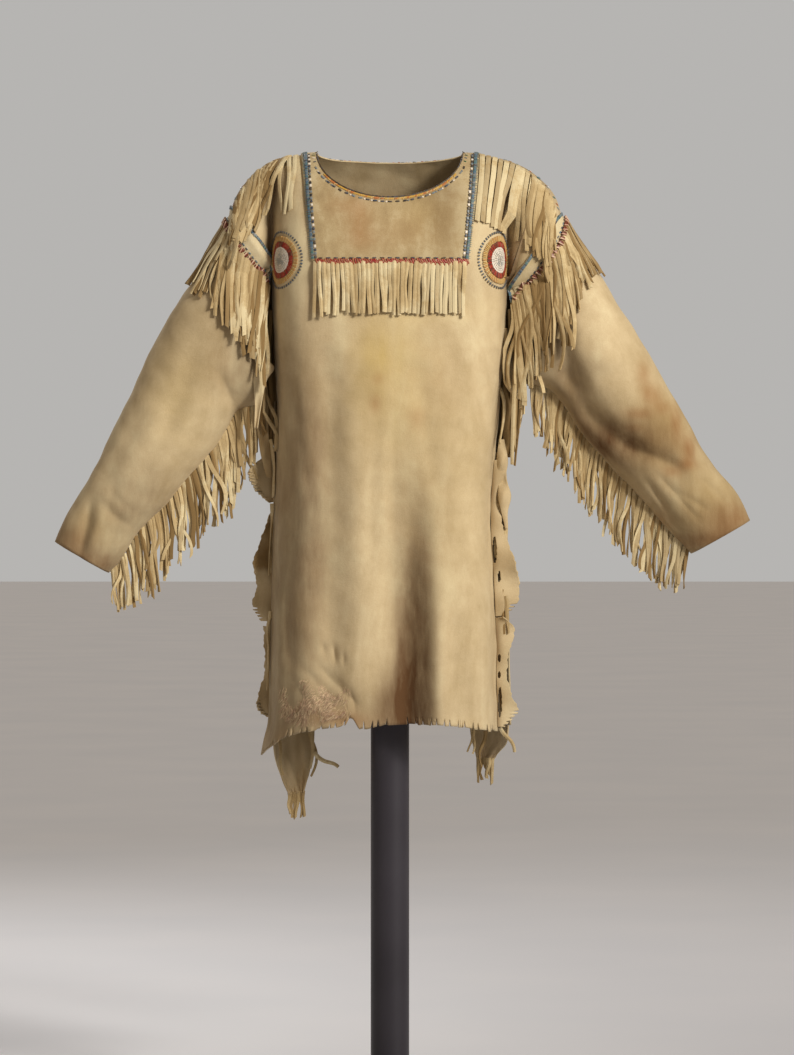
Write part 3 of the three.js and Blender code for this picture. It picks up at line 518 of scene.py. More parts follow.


# Brain-tanned buckskin: a soft cream-tan suede with no grain layer. It is cloudy at the scale of a hand,
# mottled at the scale of a finger, and has a short nap that catches side light. Smoke, rust and ochre
# stains are painted by weight in the ochre, rust and grime marks of each piece. The grime mark also carries
# painted shade in folds, under fringes and in gaps, and the shade mark mixes in a brown that is in places
# the hide's own tone and in places painted shade.
def buckskin_material(name, pale, mid, deep, mottled):
    suede, shader = new_material(name)
    spots = add_node(suede, "ShaderNodeTexCoord", {}, {}).outputs["Object"]
    hung = add_node(suede, "ShaderNodeMapping", {}, {"Vector": spots, "Scale": (1.5, 1.5, 0.6)})
    clouds = add_node(suede, "ShaderNodeTexNoise", {},
                      {"Vector": hung.outputs["Vector"], "Scale": 7.0, "Detail": 4.0, "Roughness": 0.6,
                       "Distortion": 0.6})
    mottle = add_node(suede, "ShaderNodeTexNoise", {},
                      {"Vector": spots, "Scale": 42.0, "Detail": 5.0, "Roughness": 0.65})
    drawn = add_node(suede, "ShaderNodeMapping", {}, {"Vector": spots, "Scale": (1.0, 1.0, 0.22)})
    streaks = add_node(suede, "ShaderNodeTexNoise", {},
                       {"Vector": drawn.outputs["Vector"], "Scale": 46.0, "Detail": 4.0, "Roughness": 0.6})
    nap = add_node(suede, "ShaderNodeTexNoise", {},
                   {"Vector": spots, "Scale": 520.0, "Detail": 3.0, "Roughness": 0.7})  # nap of about 2 mm
    blend = add_node(suede, "ShaderNodeMath", {"operation": "MULTIPLY_ADD"},
                     {0: mottle.outputs["Fac"], 1: mottled, 2: clouds.outputs["Fac"]})
    tone = add_node(suede, "ShaderNodeMath", {"operation": "MULTIPLY_ADD"},
                    {0: nap.outputs["Fac"], 1: 0.22, 2: blend.outputs[0]})
    middle = 0.5 + 0.5 * mottled + 0.11
    tint = add_node(suede, "ShaderNodeValToRGB", {}, {"Fac": tone.outputs[0]},
                    [(middle - 0.22, deep), (middle + 0.2, pale), (middle, mid)])
    colour = tint.outputs["Color"]
    # The grime and shade colours are in places painted shade, not the hide's own colour.
    stains_and_shade = (("ochre", 0xC9AD62, 0.9), ("rust", 0x9C6A3A, 1.0), ("grime_and_shade", 0x5C4026, 1.0),
              ("shade", 0x8A7048, 1.0))
    for mark_stains_and_shade, dye, most in stains_and_shade:
        weight = add_node(suede, "ShaderNodeAttribute", {"attribute_name": mark_stains_and_shade}, {})
        broken = add_node(suede, "ShaderNodeMath", {"operation": "MULTIPLY_ADD"},
                          {0: streaks.outputs["Fac"], 1: 1.1, 2: 0.45})
        share = add_node(suede, "ShaderNodeMath", {"operation": "MULTIPLY", "use_clamp": True},
                         {0: weight.outputs["Fac"], 1: broken.outputs[0]})
        eased = add_node(suede, "ShaderNodeMath", {"operation": "MULTIPLY", "use_clamp": True},
                         {0: share.outputs[0], 1: most})
        mixed = add_node(suede, "ShaderNodeMix", {"data_type": "RGBA", "blend_type": "MIX"},
                         {0: eased.outputs[0], 6: colour, 7: linear(dye)})
        colour = mixed.outputs[2]
    grain = add_node(suede, "ShaderNodeMath", {"operation": "MULTIPLY_ADD"},
                     {0: mottle.outputs["Fac"], 1: 2.2, 2: nap.outputs["Fac"]})
    relief = add_node(suede, "ShaderNodeBump", {},
                      {"Strength": 0.35, "Distance": 0.0011, "Height": grain.outputs[0]})
    connect(suede, shader, {"Base Color": colour, "Roughness": 0.86, "Specular IOR Level": 0.22,
                            "Sheen Weight": 0.22, "Sheen Roughness": 0.45,
                            "Sheen Tint": linear(0xF2E3C4), "Normal": relief.outputs["Normal"]})
    return suede


buckskin = buckskin_material("brain_tanned_buckskin", 0xD6C6A0, 0xC8B48F, 0xB5A07A, 0.35)

front = make_hide("front", -1, 73, FRONT_HEM, FRONT_FOLDS, FRONT_CREASES)
back = make_hide("back", 1, 9, BACK_HEM, BACK_FOLDS, BACK_CREASES)
FRONT_CELLS = (140, 220)
ROW_SHARES = ([0, 0.3, 1], [0, KNEE_V, 1])      # fewer rows to the upper part than its share down


def over(hide):
    """Lays a flat grid over a hide's outer face."""
    def place(across, down):
        u, v = across * 2 - 1, np.interp(down, *ROW_SHARES)
        points, normals = hide(u, v), outward(hide, u, v)
        return points + normals * HIDE + normals * lumps(points, 0.7), normals
    return place


front_hide = lay_out("front_hide", FRONT_CELLS, over(front), buckskin)
back_hide = lay_out("back_hide", (110, 176), over(back), buckskin)

# Stains, and painted shade in some grime rows, by place: centre, reach across and up, and weight.
STAIN_OR_SHADE = "x z wide tall much"
FRONT_STAINS_AND_SHADE = {
    "ochre": table(
        STAIN_OR_SHADE,
        (0, 1150, 60, 110, 0.34),
        (-14, 1190, 34, 40, 0.3),
        (70, 1000, 60, 200, 0.14),
        (40, 1262, 90, 24, 0.2)),
    "rust": table(
        STAIN_OR_SHADE,
        (-22, 1112, 9, 14, 0.4),
        (-18, 1150, 10, 10, 0.3),
        (40, 1090, 14, 16, 0.3),
        (70, 1150, 45, 60, 0.12),
        (-100, 634, 50, 14, 0.4),
        (-60, 625, 40, 12, 0.4),
        (-170, 590, 30, 26, 0.3)),
    "grime_and_shade": table(
        STAIN_OR_SHADE,
        # Painted shade in the long trough down the middle of the lower front, darkest at its foot by the hem.
        (46, 730, 22, 160, 0.5),
        (36, 640, 26, 70, 0.45),
        (54, 800, 15, 170, 0.35),
        (18, 640, 50, 60, 0.14),
        (24, 730, 18, 120, 0.9),
        (12, 632, 28, 60, 1.3),
        (36, 890, 26, 170, 0.26),
        (8, 900, 12, 120, 0.14),
        # Darker down the left side: partly the hide's own browner tone, partly painted shade where that side
        # turns away from the key light.
        (-166, 900, 42, 330, 0.5),
        (-108, 980, 24, 220, 0.3),
        (-122, 1043, 22, 130, 0.4),
        (-124, 820, 24, 130, 0.45),
        (-110, 660, 50, 30, 0.22),
        (-110, 610, 130, 60, 0.3),
        (-30, 1080, 14, 90, 0.12),
        (86, 960, 22, 180, 0.16),
        # Painted shade in the deep fold between the chest and each arm.
        (-184, 1350, 7, 90, 1.3),
        (184, 1320, 7, 80, 1.2),
        # Painted shade on the hide under the shoulder fringes.
        (-200, 1462, 44, 40, 0.9),
        (206, 1456, 44, 40, 0.9),
        (158, 1440, 20, 34, 0.3),
        # Painted shade on the hide behind the bib fringe.
        (0, 1290, 118, 26, 0.35)),
}
BACK_STAINS = {
    "ochre": table(STAIN_OR_SHADE, (30, 1150, 80, 130, 0.35), (-60, 860, 60, 150, 0.25)),
    "rust": table(STAIN_OR_SHADE, (80, 1300, 50, 50, 0.22), (-90, 650, 60, 24, 0.3)),
    "grime_and_shade": table(
        STAIN_OR_SHADE,
        (-20, 1440, 110, 34, 0.4),
        (70, 800, 24, 180, 0.22),
        (-150, 900, 24, 260, 0.25),
        (0, 1300, 60, 80, 0.15)),
}


def mark_stains_and_shade(piece, stains_and_shade, worn=0):
    """Marks a piece's stains and painted shade. `worn` adds grime along a worn edge."""
    points = points_of(piece)
    for name, rows in stains_and_shade.items():
        weight = np.zeros(len(points))
        for row in rows:
            far = ((points[:, 0] - row["x"]) / row["wide"]) ** 2
            far += ((points[:, 2] - row["z"]) / row["tall"]) ** 2
            if row.get("front"):
                far += np.maximum(points[:, 1] + 16, 0) / 8     # it fades out round the sides
            weight += row["much"] * np.exp(-far)
        mark(piece, name, np.tanh(weight + (worn if name == "grime_and_shade" else 0)))


for piece, stains_and_shade, node in ((front_hide, FRONT_STAINS_AND_SHADE, "front_panel"),
                            (back_hide, BACK_STAINS, "back_panel")):
    points = points_of(piece)
    from_side = np.maximum(184 - np.abs(points[:, 0]), 0)
    mark_stains_and_shade(piece, stains_and_shade, 0.25 * np.exp(-from_side / 14) * (points[:, 2] < 1200))    # worn below the arms
    finish_piece(piece, "buckskin", node)

# ---- sleeves ----------------------------------------------------------------------------------------------
# Each sleeve is one hide folded lengthwise, open at the cuff, sewn to the body at the shoulder and closed by
# the seam below the arm. It stands out stiffly, with one deep fold inside the elbow and crumples at the cuff.
LYING = HIDE + GAP
SEAM_GAP = 0.4
SEAM_PHI = math.radians(55)
SEAM_TURN = SEAM_PHI / math.pi
SIDES["left"]["sleeve"] = table(
    "t top_x top_z low_x low_z half",
    (0.09, 270, 1366, 208, 1118, 64),
    (0.18, 294, 1322, 237, 1108, 66),
    (0.29, 327, 1275, 256, 1078, 65),
    (0.42, 360, 1219, 277, 1046, 62),
    (0.57, 398, 1140, 318, 1000, 57),
    (0.71, 430, 1072, 354, 957, 51),
    (0.84, 464, 1004, 392, 918, 45),
    (0.94, 500, 945, 422, 872, 41),
    (1, 521, 900, 440, 853, 38))
SIDES["right"]["sleeve"] = table(
    "t top_x top_z low_x low_z half",
    (0.09, 290, 1366, 215, 1148, 64),
    (0.18, 332, 1306, 249, 1140, 66),
    (0.29, 356, 1266, 274, 1112, 65),
    (0.42, 384, 1221, 298, 1075, 62),
    (0.57, 427, 1148, 340, 1025, 57),
    (0.71, 465, 1082, 384, 979, 51),
    (0.84, 500, 1022, 421, 938, 45),
    (0.94, 541, 972, 452, 903, 41),
    (1, 560, 933, 471, 883, 38))
ARMPIT = table("f x z y", (0, 184, 0, 28), (0.3, 193, 0.35, 38), (0.65, 196, 0.75, 30), (1, 203, 1, 0))
# Creases on the front and back of each sleeve, by place across and height.
SLEEVE_CREASES = {
    "left": table(
        CREASE,
        (-452, 968, -414, 930, 8, 1.8),
        (-432, 976, -402, 950, 6, 1.4),
        (-444, 950, -396, 922, 7, 1.8),
        (-424, 995, -436, 940, 7, 1.3),
        (-478, 885, -462, 962, 9, 6.0),
        (-468, 876, -446, 946, 9, -4.0),
        (-440, 880, -418, 944, 7, 3.2),
        (-300, 1190, -352, 1040, 16, 2.6),
        (-262, 1160, -240, 1100, 8, 5.0),
        (-330, 1110, -380, 1010, 14, 2.2),
        (-390, 1080, -440, 1000, 12, 1.8)),
    "right": table(
        CREASE,
        (262, 1245, 280, 1150, 15, 12),
        (276, 1166, 318, 1090, 17, 15),
        (308, 1100, 384, 1038, 15, 14),
        (372, 1050, 452, 1012, 12, 9),
        (318, 1210, 342, 1170, 26, -5),
        (256, 1222, 262, 1178, 7, -4),
        (396, 1000, 452, 925, 6, 3.0),
        (414, 1006, 474, 940, 5, 2.6),
        (408, 985, 440, 930, 5, 2.8),
        (436, 985, 492, 950, 6, 2.4),
        (400, 970, 462, 905, 5, 2.2),
        (480, 1000, 520, 962, 7, 3.0),
        (350, 1240, 420, 1110, 14, 2.0),
        (430, 1060, 470, 1000, 10, -2.4)),
    "left_back": table(
        CREASE,
        (-240, 1230, -290, 1120, 14, 9),
        (-285, 1130, -360, 1060, 13, 8),
        (-430, 985, -470, 900, 7, 3.2),
        (-410, 950, -450, 880, 6, 2.6),
        (-350, 1180, -420, 1040, 13, 2.4)),
    "right_back": table(
        CREASE,
        (250, 1220, 300, 1110, 14, 8),
        (296, 1120, 372, 1060, 13, 8),
        (440, 1000, 490, 920, 7, 3.2),
        (420, 980, 470, 900, 6, 2.4),
        (370, 1210, 450, 1080, 13, 2.4)),
}
# The painted shade in the elbow's fold is on the front only.
SLEEVE_STAINS_AND_SHADE = {
    "left": {
        "ochre": table(STAIN_OR_SHADE, (-330, 1120, 50, 70, 0.16), (-460, 920, 40, 40, 0.2)),
        "rust": table(STAIN_OR_SHADE, (-500, 900, 36, 30, 0.4), (-466, 866, 40, 16, 0.45)),
        "grime_and_shade": table(
            STAIN_OR_SHADE,
            # Painted shade on the sleeve under the arm fringe.
            (-236, 1300, 34, 60, 0.7),
            (-212, 1220, 20, 90, 0.7),
            (-380, 980, 70, 50, 0.25),
            (-480, 890, 70, 60, 0.5),
            (-400, 945, 50, 40, 0.25),
            (-250, 1170, 40, 60, 0.3)),
    },
    "right": {
        "ochre": table(STAIN_OR_SHADE, (420, 1070, 60, 60, 0.4), (500, 950, 70, 60, 0.4)),
        "rust": table(
            STAIN_OR_SHADE,
            (392, 1160, 11, 20, 0.4),
            (405, 1128, 15, 16, 0.6),
            (384, 1098, 20, 9, 0.6),
            (376, 1076, 16, 7, 0.4),
            (422, 1108, 14, 12, 0.4),
            (444, 1084, 9, 26, 0.65),
            (464, 1046, 10, 20, 0.8),
            (458, 1020, 16, 9, 0.6),
            (438, 1008, 16, 8, 0.45),
            (420, 1060, 40, 40, 0.2),
            (500, 900, 50, 14, 0.65),
            (530, 930, 40, 30, 0.8),
            (420, 930, 24, 20, 0.3)),
        "grime_and_shade": table(
            STAIN_OR_SHADE + " front",
            # Painted shade on the sleeve under the arm fringe.
            (250, 1290, 34, 60, 0.7, 0),
            (216, 1220, 22, 90, 0.7, 0),
            # Painted shade along the deep fold inside the elbow, in this row and the next.
            (264, 1200, 14, 60, 0.5, 0),
            (340, 1056, 74, 34, 1.1, 1),
            (410, 1050, 110, 100, 0.42, 0),
            # Painted shade along the same fold.
            (284, 1130, 26, 70, 0.55, 1),
            (450, 940, 60, 50, 0.32, 0),
            (530, 930, 56, 56, 0.45, 0)),
    },
}


def make_sleeve(name):
    """A sleeve by share u, from the underarm over the back, top and front, and v, from seam to cuff."""
    side = SIDES[name]
    rings = side["sleeve"]
    first_t = rings[0]["t"]

    def ring_point(turn, t):
        up = (1 + np.cos(turn)) / 2
        x = lerp(sample(rings, "t", "low_x", t), sample(rings, "t", "top_x", t), up)
        z = lerp(sample(rings, "t", "low_z", t), sample(rings, "t", "top_z", t), up)
        return np.stack([side["sign"] * x, -sample(rings, "t", "half", t) * np.sin(turn), z], -1)

    def seam_point(turn):
        spread = np.abs(turn)
        sign = np.full_like(turn, side["sign"])
        v = KNEE_V * np.minimum(spread / SEAM_PHI, 1)
        on_hide = np.where((turn < 0)[..., None], back(sign, v), front(sign, v))
        f = np.clip((spread - SEAM_PHI) / (math.pi - SEAM_PHI), 0, 1)
        z = lerp(on_hide[..., 2], side["armpit_z"], sample(ARMPIT, "f", "z", f))
        beside = np.stack([side["sign"] * sample(ARMPIT, "f", "x", f),
                           -np.sign(turn) * sample(ARMPIT, "f", "y", f), z], -1)
        return np.where((spread <= SEAM_PHI)[..., None], on_hide, beside)

    def smooth_sleeve(u, v):
        u, v = np.broadcast_arrays(np.asarray(u, float), np.asarray(v, float))
        turn = u * math.pi
        seam = seam_point(turn)
        run = ring_point(turn, np.full_like(v, first_t)) - seam
        start = SEAM_GAP / np.linalg.norm(run, axis=-1)
        near = seam + run * lerp(start, 1, np.minimum(v / first_t, 1))[..., None]
        return np.where((v >= first_t)[..., None], ring_point(turn, v), near)

    def sleeve(u, v):
        points = smooth_sleeve(u, v)
        turn = np.broadcast_to(np.asarray(u, float), points.shape[:-1]) * math.pi
        begun = smoothstep(np.broadcast_to(np.asarray(v, float), turn.shape), 0.05, 0.14)
        for creases, facing in ((SLEEVE_CREASES[name], 1), (SLEEVE_CREASES[name + "_back"], -1)):
            shown = smoothstep(facing * np.sin(turn), 0.05, 0.5) * begun
            pressed = crease_depth(creases, points[..., 0], points[..., 2]) * shown
            points = points + np.stack([0 * pressed, facing * pressed, 0 * pressed], -1)
        return points

    def down_to(turn, far):
        """The share down at which a line round the arm lies some way from the seam."""
        run = ring_point(turn * math.pi, np.full_like(turn, first_t)) - seam_point(turn * math.pi)
        return first_t * far / np.linalg.norm(run, axis=-1)

    sleeve.low_u, sleeve.out, sleeve.down_to = -1, side["sign"], down_to
    return sleeve


sleeves = {name: make_sleeve(name) for name in SIDES}


def along_sleeve(sleeve):
    """Lays a flat grid round a sleeve. Its edge keeps to the shoulder seam."""
    def place(across, down):
        u, v = across * 2 - 1, down
        points, normals = sleeve(u, v), outward(sleeve, u, v)
        sewn = ((v == 0) & (np.abs(u) <= SEAM_TURN))[..., None]
        return points + normals * HIDE + normals * lumps(points, 0.8) * ~sewn, normals
    return place


sleeve_hides = {}
for name, sleeve in sleeves.items():
    piece = lay_out(f"{name}_sleeve", (116, 130), along_sleeve(sleeve), buckskin)
    from_cuff = np.maximum(points_of(piece)[:, 2] - SIDES[name]["sleeve"][-1]["low_z"] - 24, 0)
    mark_stains_and_shade(piece, SLEEVE_STAINS_AND_SHADE[name], 0.4 * np.exp(-from_cuff / 9))
    finish_piece(piece, "buckskin", f"sleeve_{name}")
    sleeve_hides[name] = piece

# ---- bib --------------------------------------------------------------------------------------------------
# A square of thinner hide sewn over the chest from the neck to the collar bones, with the neck opening cut
# through it. It is yellower than the front and darkened by handling below the neck.
BIB_BOTTOM_Z = 1331
BIB_TOP_V = 0.012
bib_buckskin = buckskin_material("handled_buckskin", 0xC2B18C, 0xB09B74, 0x98825E, 0.5)


def over_bib(across, down):
    """Lays a flat grid over the front hide, from the neck to the bib's lower edge."""
    u = lerp(-BIB_U, BIB_U, across)
    v = lerp(BIB_TOP_V, front.down_to(u, BIB_BOTTOM_Z), down)
    points, normals = front(u, v), outward(front, u, v)
    return points + normals * (LYING + HIDE) + normals * lumps(points, 0.35), normals


bib = lay_out("chest_bib", (110, 70), over_bib, bib_buckskin)
BIB_STAINS = {
    "ochre": table(STAIN_OR_SHADE, (60, 1400, 40, 40, 0.15)),
    "rust": table(
        STAIN_OR_SHADE,
        (-62, 1418, 34, 20, 0.34),
        (-48, 1386, 24, 30, 0.34),
        (-40, 1362, 30, 18, 0.2),
        (30, 1376, 50, 30, 0.16)),
    "grime_and_shade": table(STAIN_OR_SHADE, (0, 1440, 90, 14, 0.25), (84, 1404, 34, 60, 0.42)),
}
mark_stains_and_shade(bib, BIB_STAINS)
finish_piece(bib, "buckskin", "bib")

# ---- quill and thread work --------------------------------------------------------------------------------
# Flattened porcupine quills, dyed with plants and trade cloth, and dark sinew thread. They are sewn down in
# short stitches as lines along the bib, round the neck and on the arm bands, and as two discs on the chest.
quill, shader = new_material("dyed_quill_stitches")
spots = add_node(quill, "ShaderNodeTexCoord", {}, {}).outputs["Object"]
worn = add_node(quill, "ShaderNodeTexNoise", {},
                {"Vector": spots, "Scale": 260.0, "Detail": 2.0})   # 4 mm wear
dyed = add_node(quill, "ShaderNodeAttribute", {"attribute_name": "dye"}, {})
share = add_node(quill, "ShaderNodeMapRange", {},
                 {"Value": worn.outputs["Fac"], "From Min": 0.35, "From Max": 0.7,
                  "To Min": 0.0, "To Max": 0.25})
faded = add_node(quill, "ShaderNodeMix", {"data_type": "RGBA", "blend_type": "MIX"},
                 {0: share.outputs["Result"], 6: dyed.outputs["Color"], 7: linear(0xB59B70)})
connect(quill, shader, {"Base Color": faded.outputs[2], "Roughness": 0.42, "Specular IOR Level": 0.45})

WHITE, BLACK, RED, DARK_RED = 0xE0D8CC, 0x2C2B2E, 0x94170F, 0x661510
BLUE, TEAL, GREY_BLUE, NAVY = 0x48697F, 0x467274, 0x6F7C85, 0x2F3C50
ORANGE, YELLOW, RUST, GREEN = 0xB5672F, 0xC79A3E, 0x9A4A2C, 0x3F6A4A
sewing = random.Random(11)


def measured(points):
    """The length along a line up to each of its points."""
    return np.concatenate([[0], np.cumsum(np.linalg.norm(np.diff(points, axis=0), axis=1))])


def course(surface, u, v, lift):
    """A line over a surface from shares across and down: its points, outward directions and lengths."""
    points, normals = surface(u, v), outward(surface, u, v)
    points = points + normals * lift
    return points, normals, measured(points)


def sew(stitches, line, pitch, size, dyes, turn=0.0, aside=0.0, start=0.0, end=None, loose=0.12, skip=0.0):
    """Sews stitches down a course, one each pitch, each (long, wide, tall), turned from the course's way."""
    points, normals, lengths = line
    end = lengths[-1] if end is None else end
    count = max(1, round((end - start) / pitch))
    for number in range(count):
        at = start + (number + 0.5) * (end - start) / count
        if sewing.random() < skip:
            continue
        spot, next_spot, out = (Vector([np.interp(near, lengths, row) for row in rows.T])
                                for near, rows in ((at, points), (at + 0.5, points), (at, normals)))
        way = next_spot - spot
        if way.length < 1e-6:
            continue
        way.normalize()
        out.normalize()
        side = out.cross(way).normalized()
        spun = turn + sewing.gauss(0, loose)
        along = way * math.cos(spun) + side * math.sin(spun)
        across = out.cross(along)
        long, wide, tall = (edge * sewing.uniform(0.88, 1.12) for edge in size)
        spot += side * aside + out * (size[2] / 2)
        dye = dyes[number % len(dyes)]
        stitches.append(((along * long, across * wide, out * tall), spot,
                         linear(sewing.choice(dye) if isinstance(dye, tuple) else dye)))


def joined(name, bm, place, material, marks):
    """One mesh of many copies of a small shape. `place` gives every copy's points from the shape's own."""
    bm.verts.index_update()
    shape = np.array([vert.co for vert in bm.verts])
    faces = np.array([[vert.index for vert in face.verts] for face in bm.faces if len(face.verts) == 4])
    corners = np.array([[vert.index for vert in face.verts] for face in bm.faces if len(face.verts) == 3])
    bm.free()
    points = place(shape)
    firsts = np.arange(len(points))[:, None, None] * len(shape)
    mesh = bpy.data.meshes.new(name)
    mesh.from_pydata((points * MM).reshape(-1, 3), [],
                     [face for kind in (faces, corners) if len(kind)
                      for face in (firsts + kind).reshape(-1, kind.shape[1]).tolist()])
    for mark_name, kind, field, values in marks:
        layer = mesh.attributes.new(mark_name, kind, "POINT")
        layer.data.foreach_set(field, np.ascontiguousarray(values, dtype=np.float32).ravel())
    return new_piece(name, mesh, material)


def dyed_blocks(name, bm, blocks, material):
    """One mesh of copies of a block of size 1, each with its three edges, its place and its dye."""
    edges, spots, dyes = zip(*blocks)
    dyes = np.repeat(dyes, len(bm.verts), 0)
    return joined(name, bm, lambda shape: np.einsum("nji,kj->nki", edges, shape) + np.array(spots)[:, None],
                  material, [("dye", "FLOAT_COLOR", "color", dyes)])


def bind_off(name, stitches):
    """Makes a piece of quill work: every stitch is a small block with rounded edges."""
    bm = bmesh.new()
    bmesh.ops.create_cube(bm, size=1)
    bmesh.ops.bevel(bm, geom=list(bm.edges), offset=0.16, offset_type="OFFSET", segments=1, profile=0.5,
                    affect="EDGES", material=-1, clamp_overlap=True)
    return dyed_blocks(name, bm, stitches, quill)


WORK_LIFT = 2 * LYING + GAP
ACROSS = math.pi / 2            # turn of a stitch that lies across its line
BLUES = (BLUE, BLUE, TEAL, GREY_BLUE, BLUE, NAVY)
for name, side in SIDES.items():
    stitches = []
    u = side["sign"] * (BIB_U - 0.014) * np.ones(60)
    v = np.linspace(BIB_TOP_V + 0.01, front.down_to(u[0], BIB_BOTTOM_Z + 3), 60)
    line = course(front, u, v, WORK_LIFT)
    inner = -side["sign"] * 5.0
    sew(stitches, line, 1.7, (4.8, 1.6, 1.2), [BLUES], turn=ACROSS, loose=0.1)
    sew(stitches, line, 5.6, (4.4, 3.6, 0.9), [(NAVY, BLACK), (WHITE, GREY_BLUE)],
        aside=inner, start=16, loose=0.15)
    sew(stitches, line, 3.1, (3.2, 0.7, 0.5), [(BLUE, TEAL)],
        turn=ACROSS, aside=-inner * 0.72, loose=0.35, skip=0.15)
    sew(stitches, line, 1.8, (5.6, 1.7, 0.9), [(TEAL, NAVY)], turn=ACROSS, aside=-inner * 0.2, end=16)
    finish_piece(bind_off(f"{name}_bib_band", stitches), "blue_work", f"bib_band_{name}")

# Below the bib a row of dark dashes, then red and orange wraps that hold each strip of the fringe.
stitches = []
u = np.linspace(-BIB_U + 0.045, BIB_U - 0.045, 90)
line = course(front, u, front.down_to(u, BIB_BOTTOM_Z + 4.5), 2 * LYING)
sew(stitches, line, 11.6, (6.2, 2.0, 1.0), [(NAVY, BLACK, NAVY)], loose=0.06)
u = np.linspace(-BIB_U + 0.035, BIB_U, 90)
line = course(front, u, front.down_to(u, BIB_BOTTOM_Z - 0.5), 2 * LYING + 0.5)
sew(stitches, line, 3.5, (8.6, 2.6, 2.4), [(RUST, 0x9A4420, RED, RUST), (RED, 0x8A2A18)],
    turn=ACROSS + 0.5, loose=0.3)
sew(stitches, line, 9.0, (3.2, 1.5, 2.2), [(WHITE, ORANGE)], turn=0.4, aside=1.6, loose=0.5, skip=0.3)
sew(stitches, line, 7.0, (6.0, 2.4, 2.4), [(RUST, 0x8A3A22)],
    turn=ACROSS + 0.2, aside=-4.0, loose=0.4, skip=0.1)
heading = bind_off("bib_heading_work", stitches)
finish_piece(heading, "red_work", "bib_heading")

# Round the neck a dark bound edge, a row of yellow and orange quills, and a row of dark dashes below it.
stitches = []
u = np.linspace(-NECK_U, NECK_U, 160)
edge = course(front, u, np.full_like(u, BIB_TOP_V + 0.003), 2 * LYING)
row = course(front, u, np.full_like(u, BIB_TOP_V + 0.003), 2 * LYING - 0.3)
whole = edge[2][-1]
sew(stitches, edge, 2.2, (2.4, 1.6, 1.1), [(BLACK, NAVY, 0x4A3A28)], aside=-1.2, loose=0.1)
sew(stitches, row, 3.0, (5.2, 2.2, 0.8), [(ORANGE, YELLOW, YELLOW, 0xC9A86E), (YELLOW, ORANGE)],
    turn=0.35, aside=-4.4, start=0.2 * whole, end=0.8 * whole, loose=0.2, skip=0.1)
sew(stitches, row, 10.8, (6.0, 2.6, 0.9), [(NAVY, BLACK, GREY_BLUE)],
    aside=-9.2, start=0.14 * whole, end=0.86 * whole, loose=0.15)
sew(stitches, row, 10.8, (3.0, 2.2, 0.8), [(WHITE, GREY_BLUE)],
    aside=-9.4, start=0.16 * whole, end=0.84 * whole, loose=0.4, skip=0.3)
sew(stitches, row, 9.0, (4.4, 1.8, 0.9), [(GREEN, RUST, NAVY), (WHITE, GREEN)],
    turn=1.1, aside=-7, end=0.13 * whole, loose=0.4)
sew(stitches, row, 9.0, (4.4, 1.8, 0.9), [(GREEN, NAVY), (WHITE, GREY_BLUE)],
    turn=1.1, aside=-7, start=0.87 * whole, loose=0.4)
u = np.linspace(-NECK_U, NECK_U, 120)
line = course(back, u, np.full_like(u, 0.012), HIDE)
sew(stitches, line, 6.4, (5.0, 2.0, 1.0), [(WHITE, RUST), (NAVY, GREY_BLUE), (WHITE, 0xB98A84)],
    aside=1.0, loose=0.25, skip=0.1)
neck_work = bind_off("neck_work", stitches)
finish_piece(neck_work, "blue_work")

# ---- chest discs ------------------------------------------------------------------------------------------
# Two quilled discs sewn on the chest beside the bib: a white eye with grey flecks, a red ring, a ring of
# orange and yellow rays, bare hide, and a ring of dark dashes. The fold beside the arm swallows their rim.
DISC_X = 167
DISC_Z = 1335
ARM_FOLD_X = 182.5
DISC_POINTS = 181
FLECK, SLATE = 0xA9AAA6, 0x4C5A68
DISC_RINGS = table(
    "at pitch long wide dyes turn",
    (2.0, 3.0, 2.6, 2.4, [(0xC9C4BA, FLECK)], 0),
    (5.0, 3.2, 3.0, 2.8, [(0xD0CBC1, FLECK)], 0),
    (8.2, 3.4, 3.2, 3.0, [(0xC9C4BA, WHITE, FLECK)], 0),
    (11.6, 3.4, 3.2, 3.2, [(WHITE, 0xD0CBC1)], 0),
    (15.0, 3.6, 3.4, 3.2, [(WHITE, WHITE, 0xD0CBC1)], 0),
    (18.4, 3.6, 3.5, 3.2, [WHITE], 0),
    (24.2, 2.3, 8.4, 2.2, [(RED, DARK_RED, RED)], 1),
    (33.0, 2.6, 8.4, 2.0, [(0xBE8A4C, 0xC29A58), (0xC6A46A, 0xC9AC72)], 1),
    (43.0, 4.9, 2.5, 3.6, [(SLATE, 0x404C58)], 0))


def disc_course(sign, radius, lift):
    """A circle over the hide about the disc's centre, measured along the hide, as far as the arm fold."""
    x = np.linspace(90, ARM_FOLD_X, 200)
    u, v = front.at_place(sign * x, np.full_like(x, DISC_Z))
    lengths = measured(front(u, v))
    centre = np.interp(DISC_X, x, lengths)
    turn = np.linspace(0, 2 * math.pi, DISC_POINTS)
    reach = centre + radius * np.cos(turn)
    shown = reach < lengths[-1]
    at_x = np.interp(reach, lengths, x)
    u, v = front.at_place(sign * at_x, DISC_Z + radius * np.sin(turn))
    points, normals, _ = course(front, u, v, lift)
    return points, normals, shown


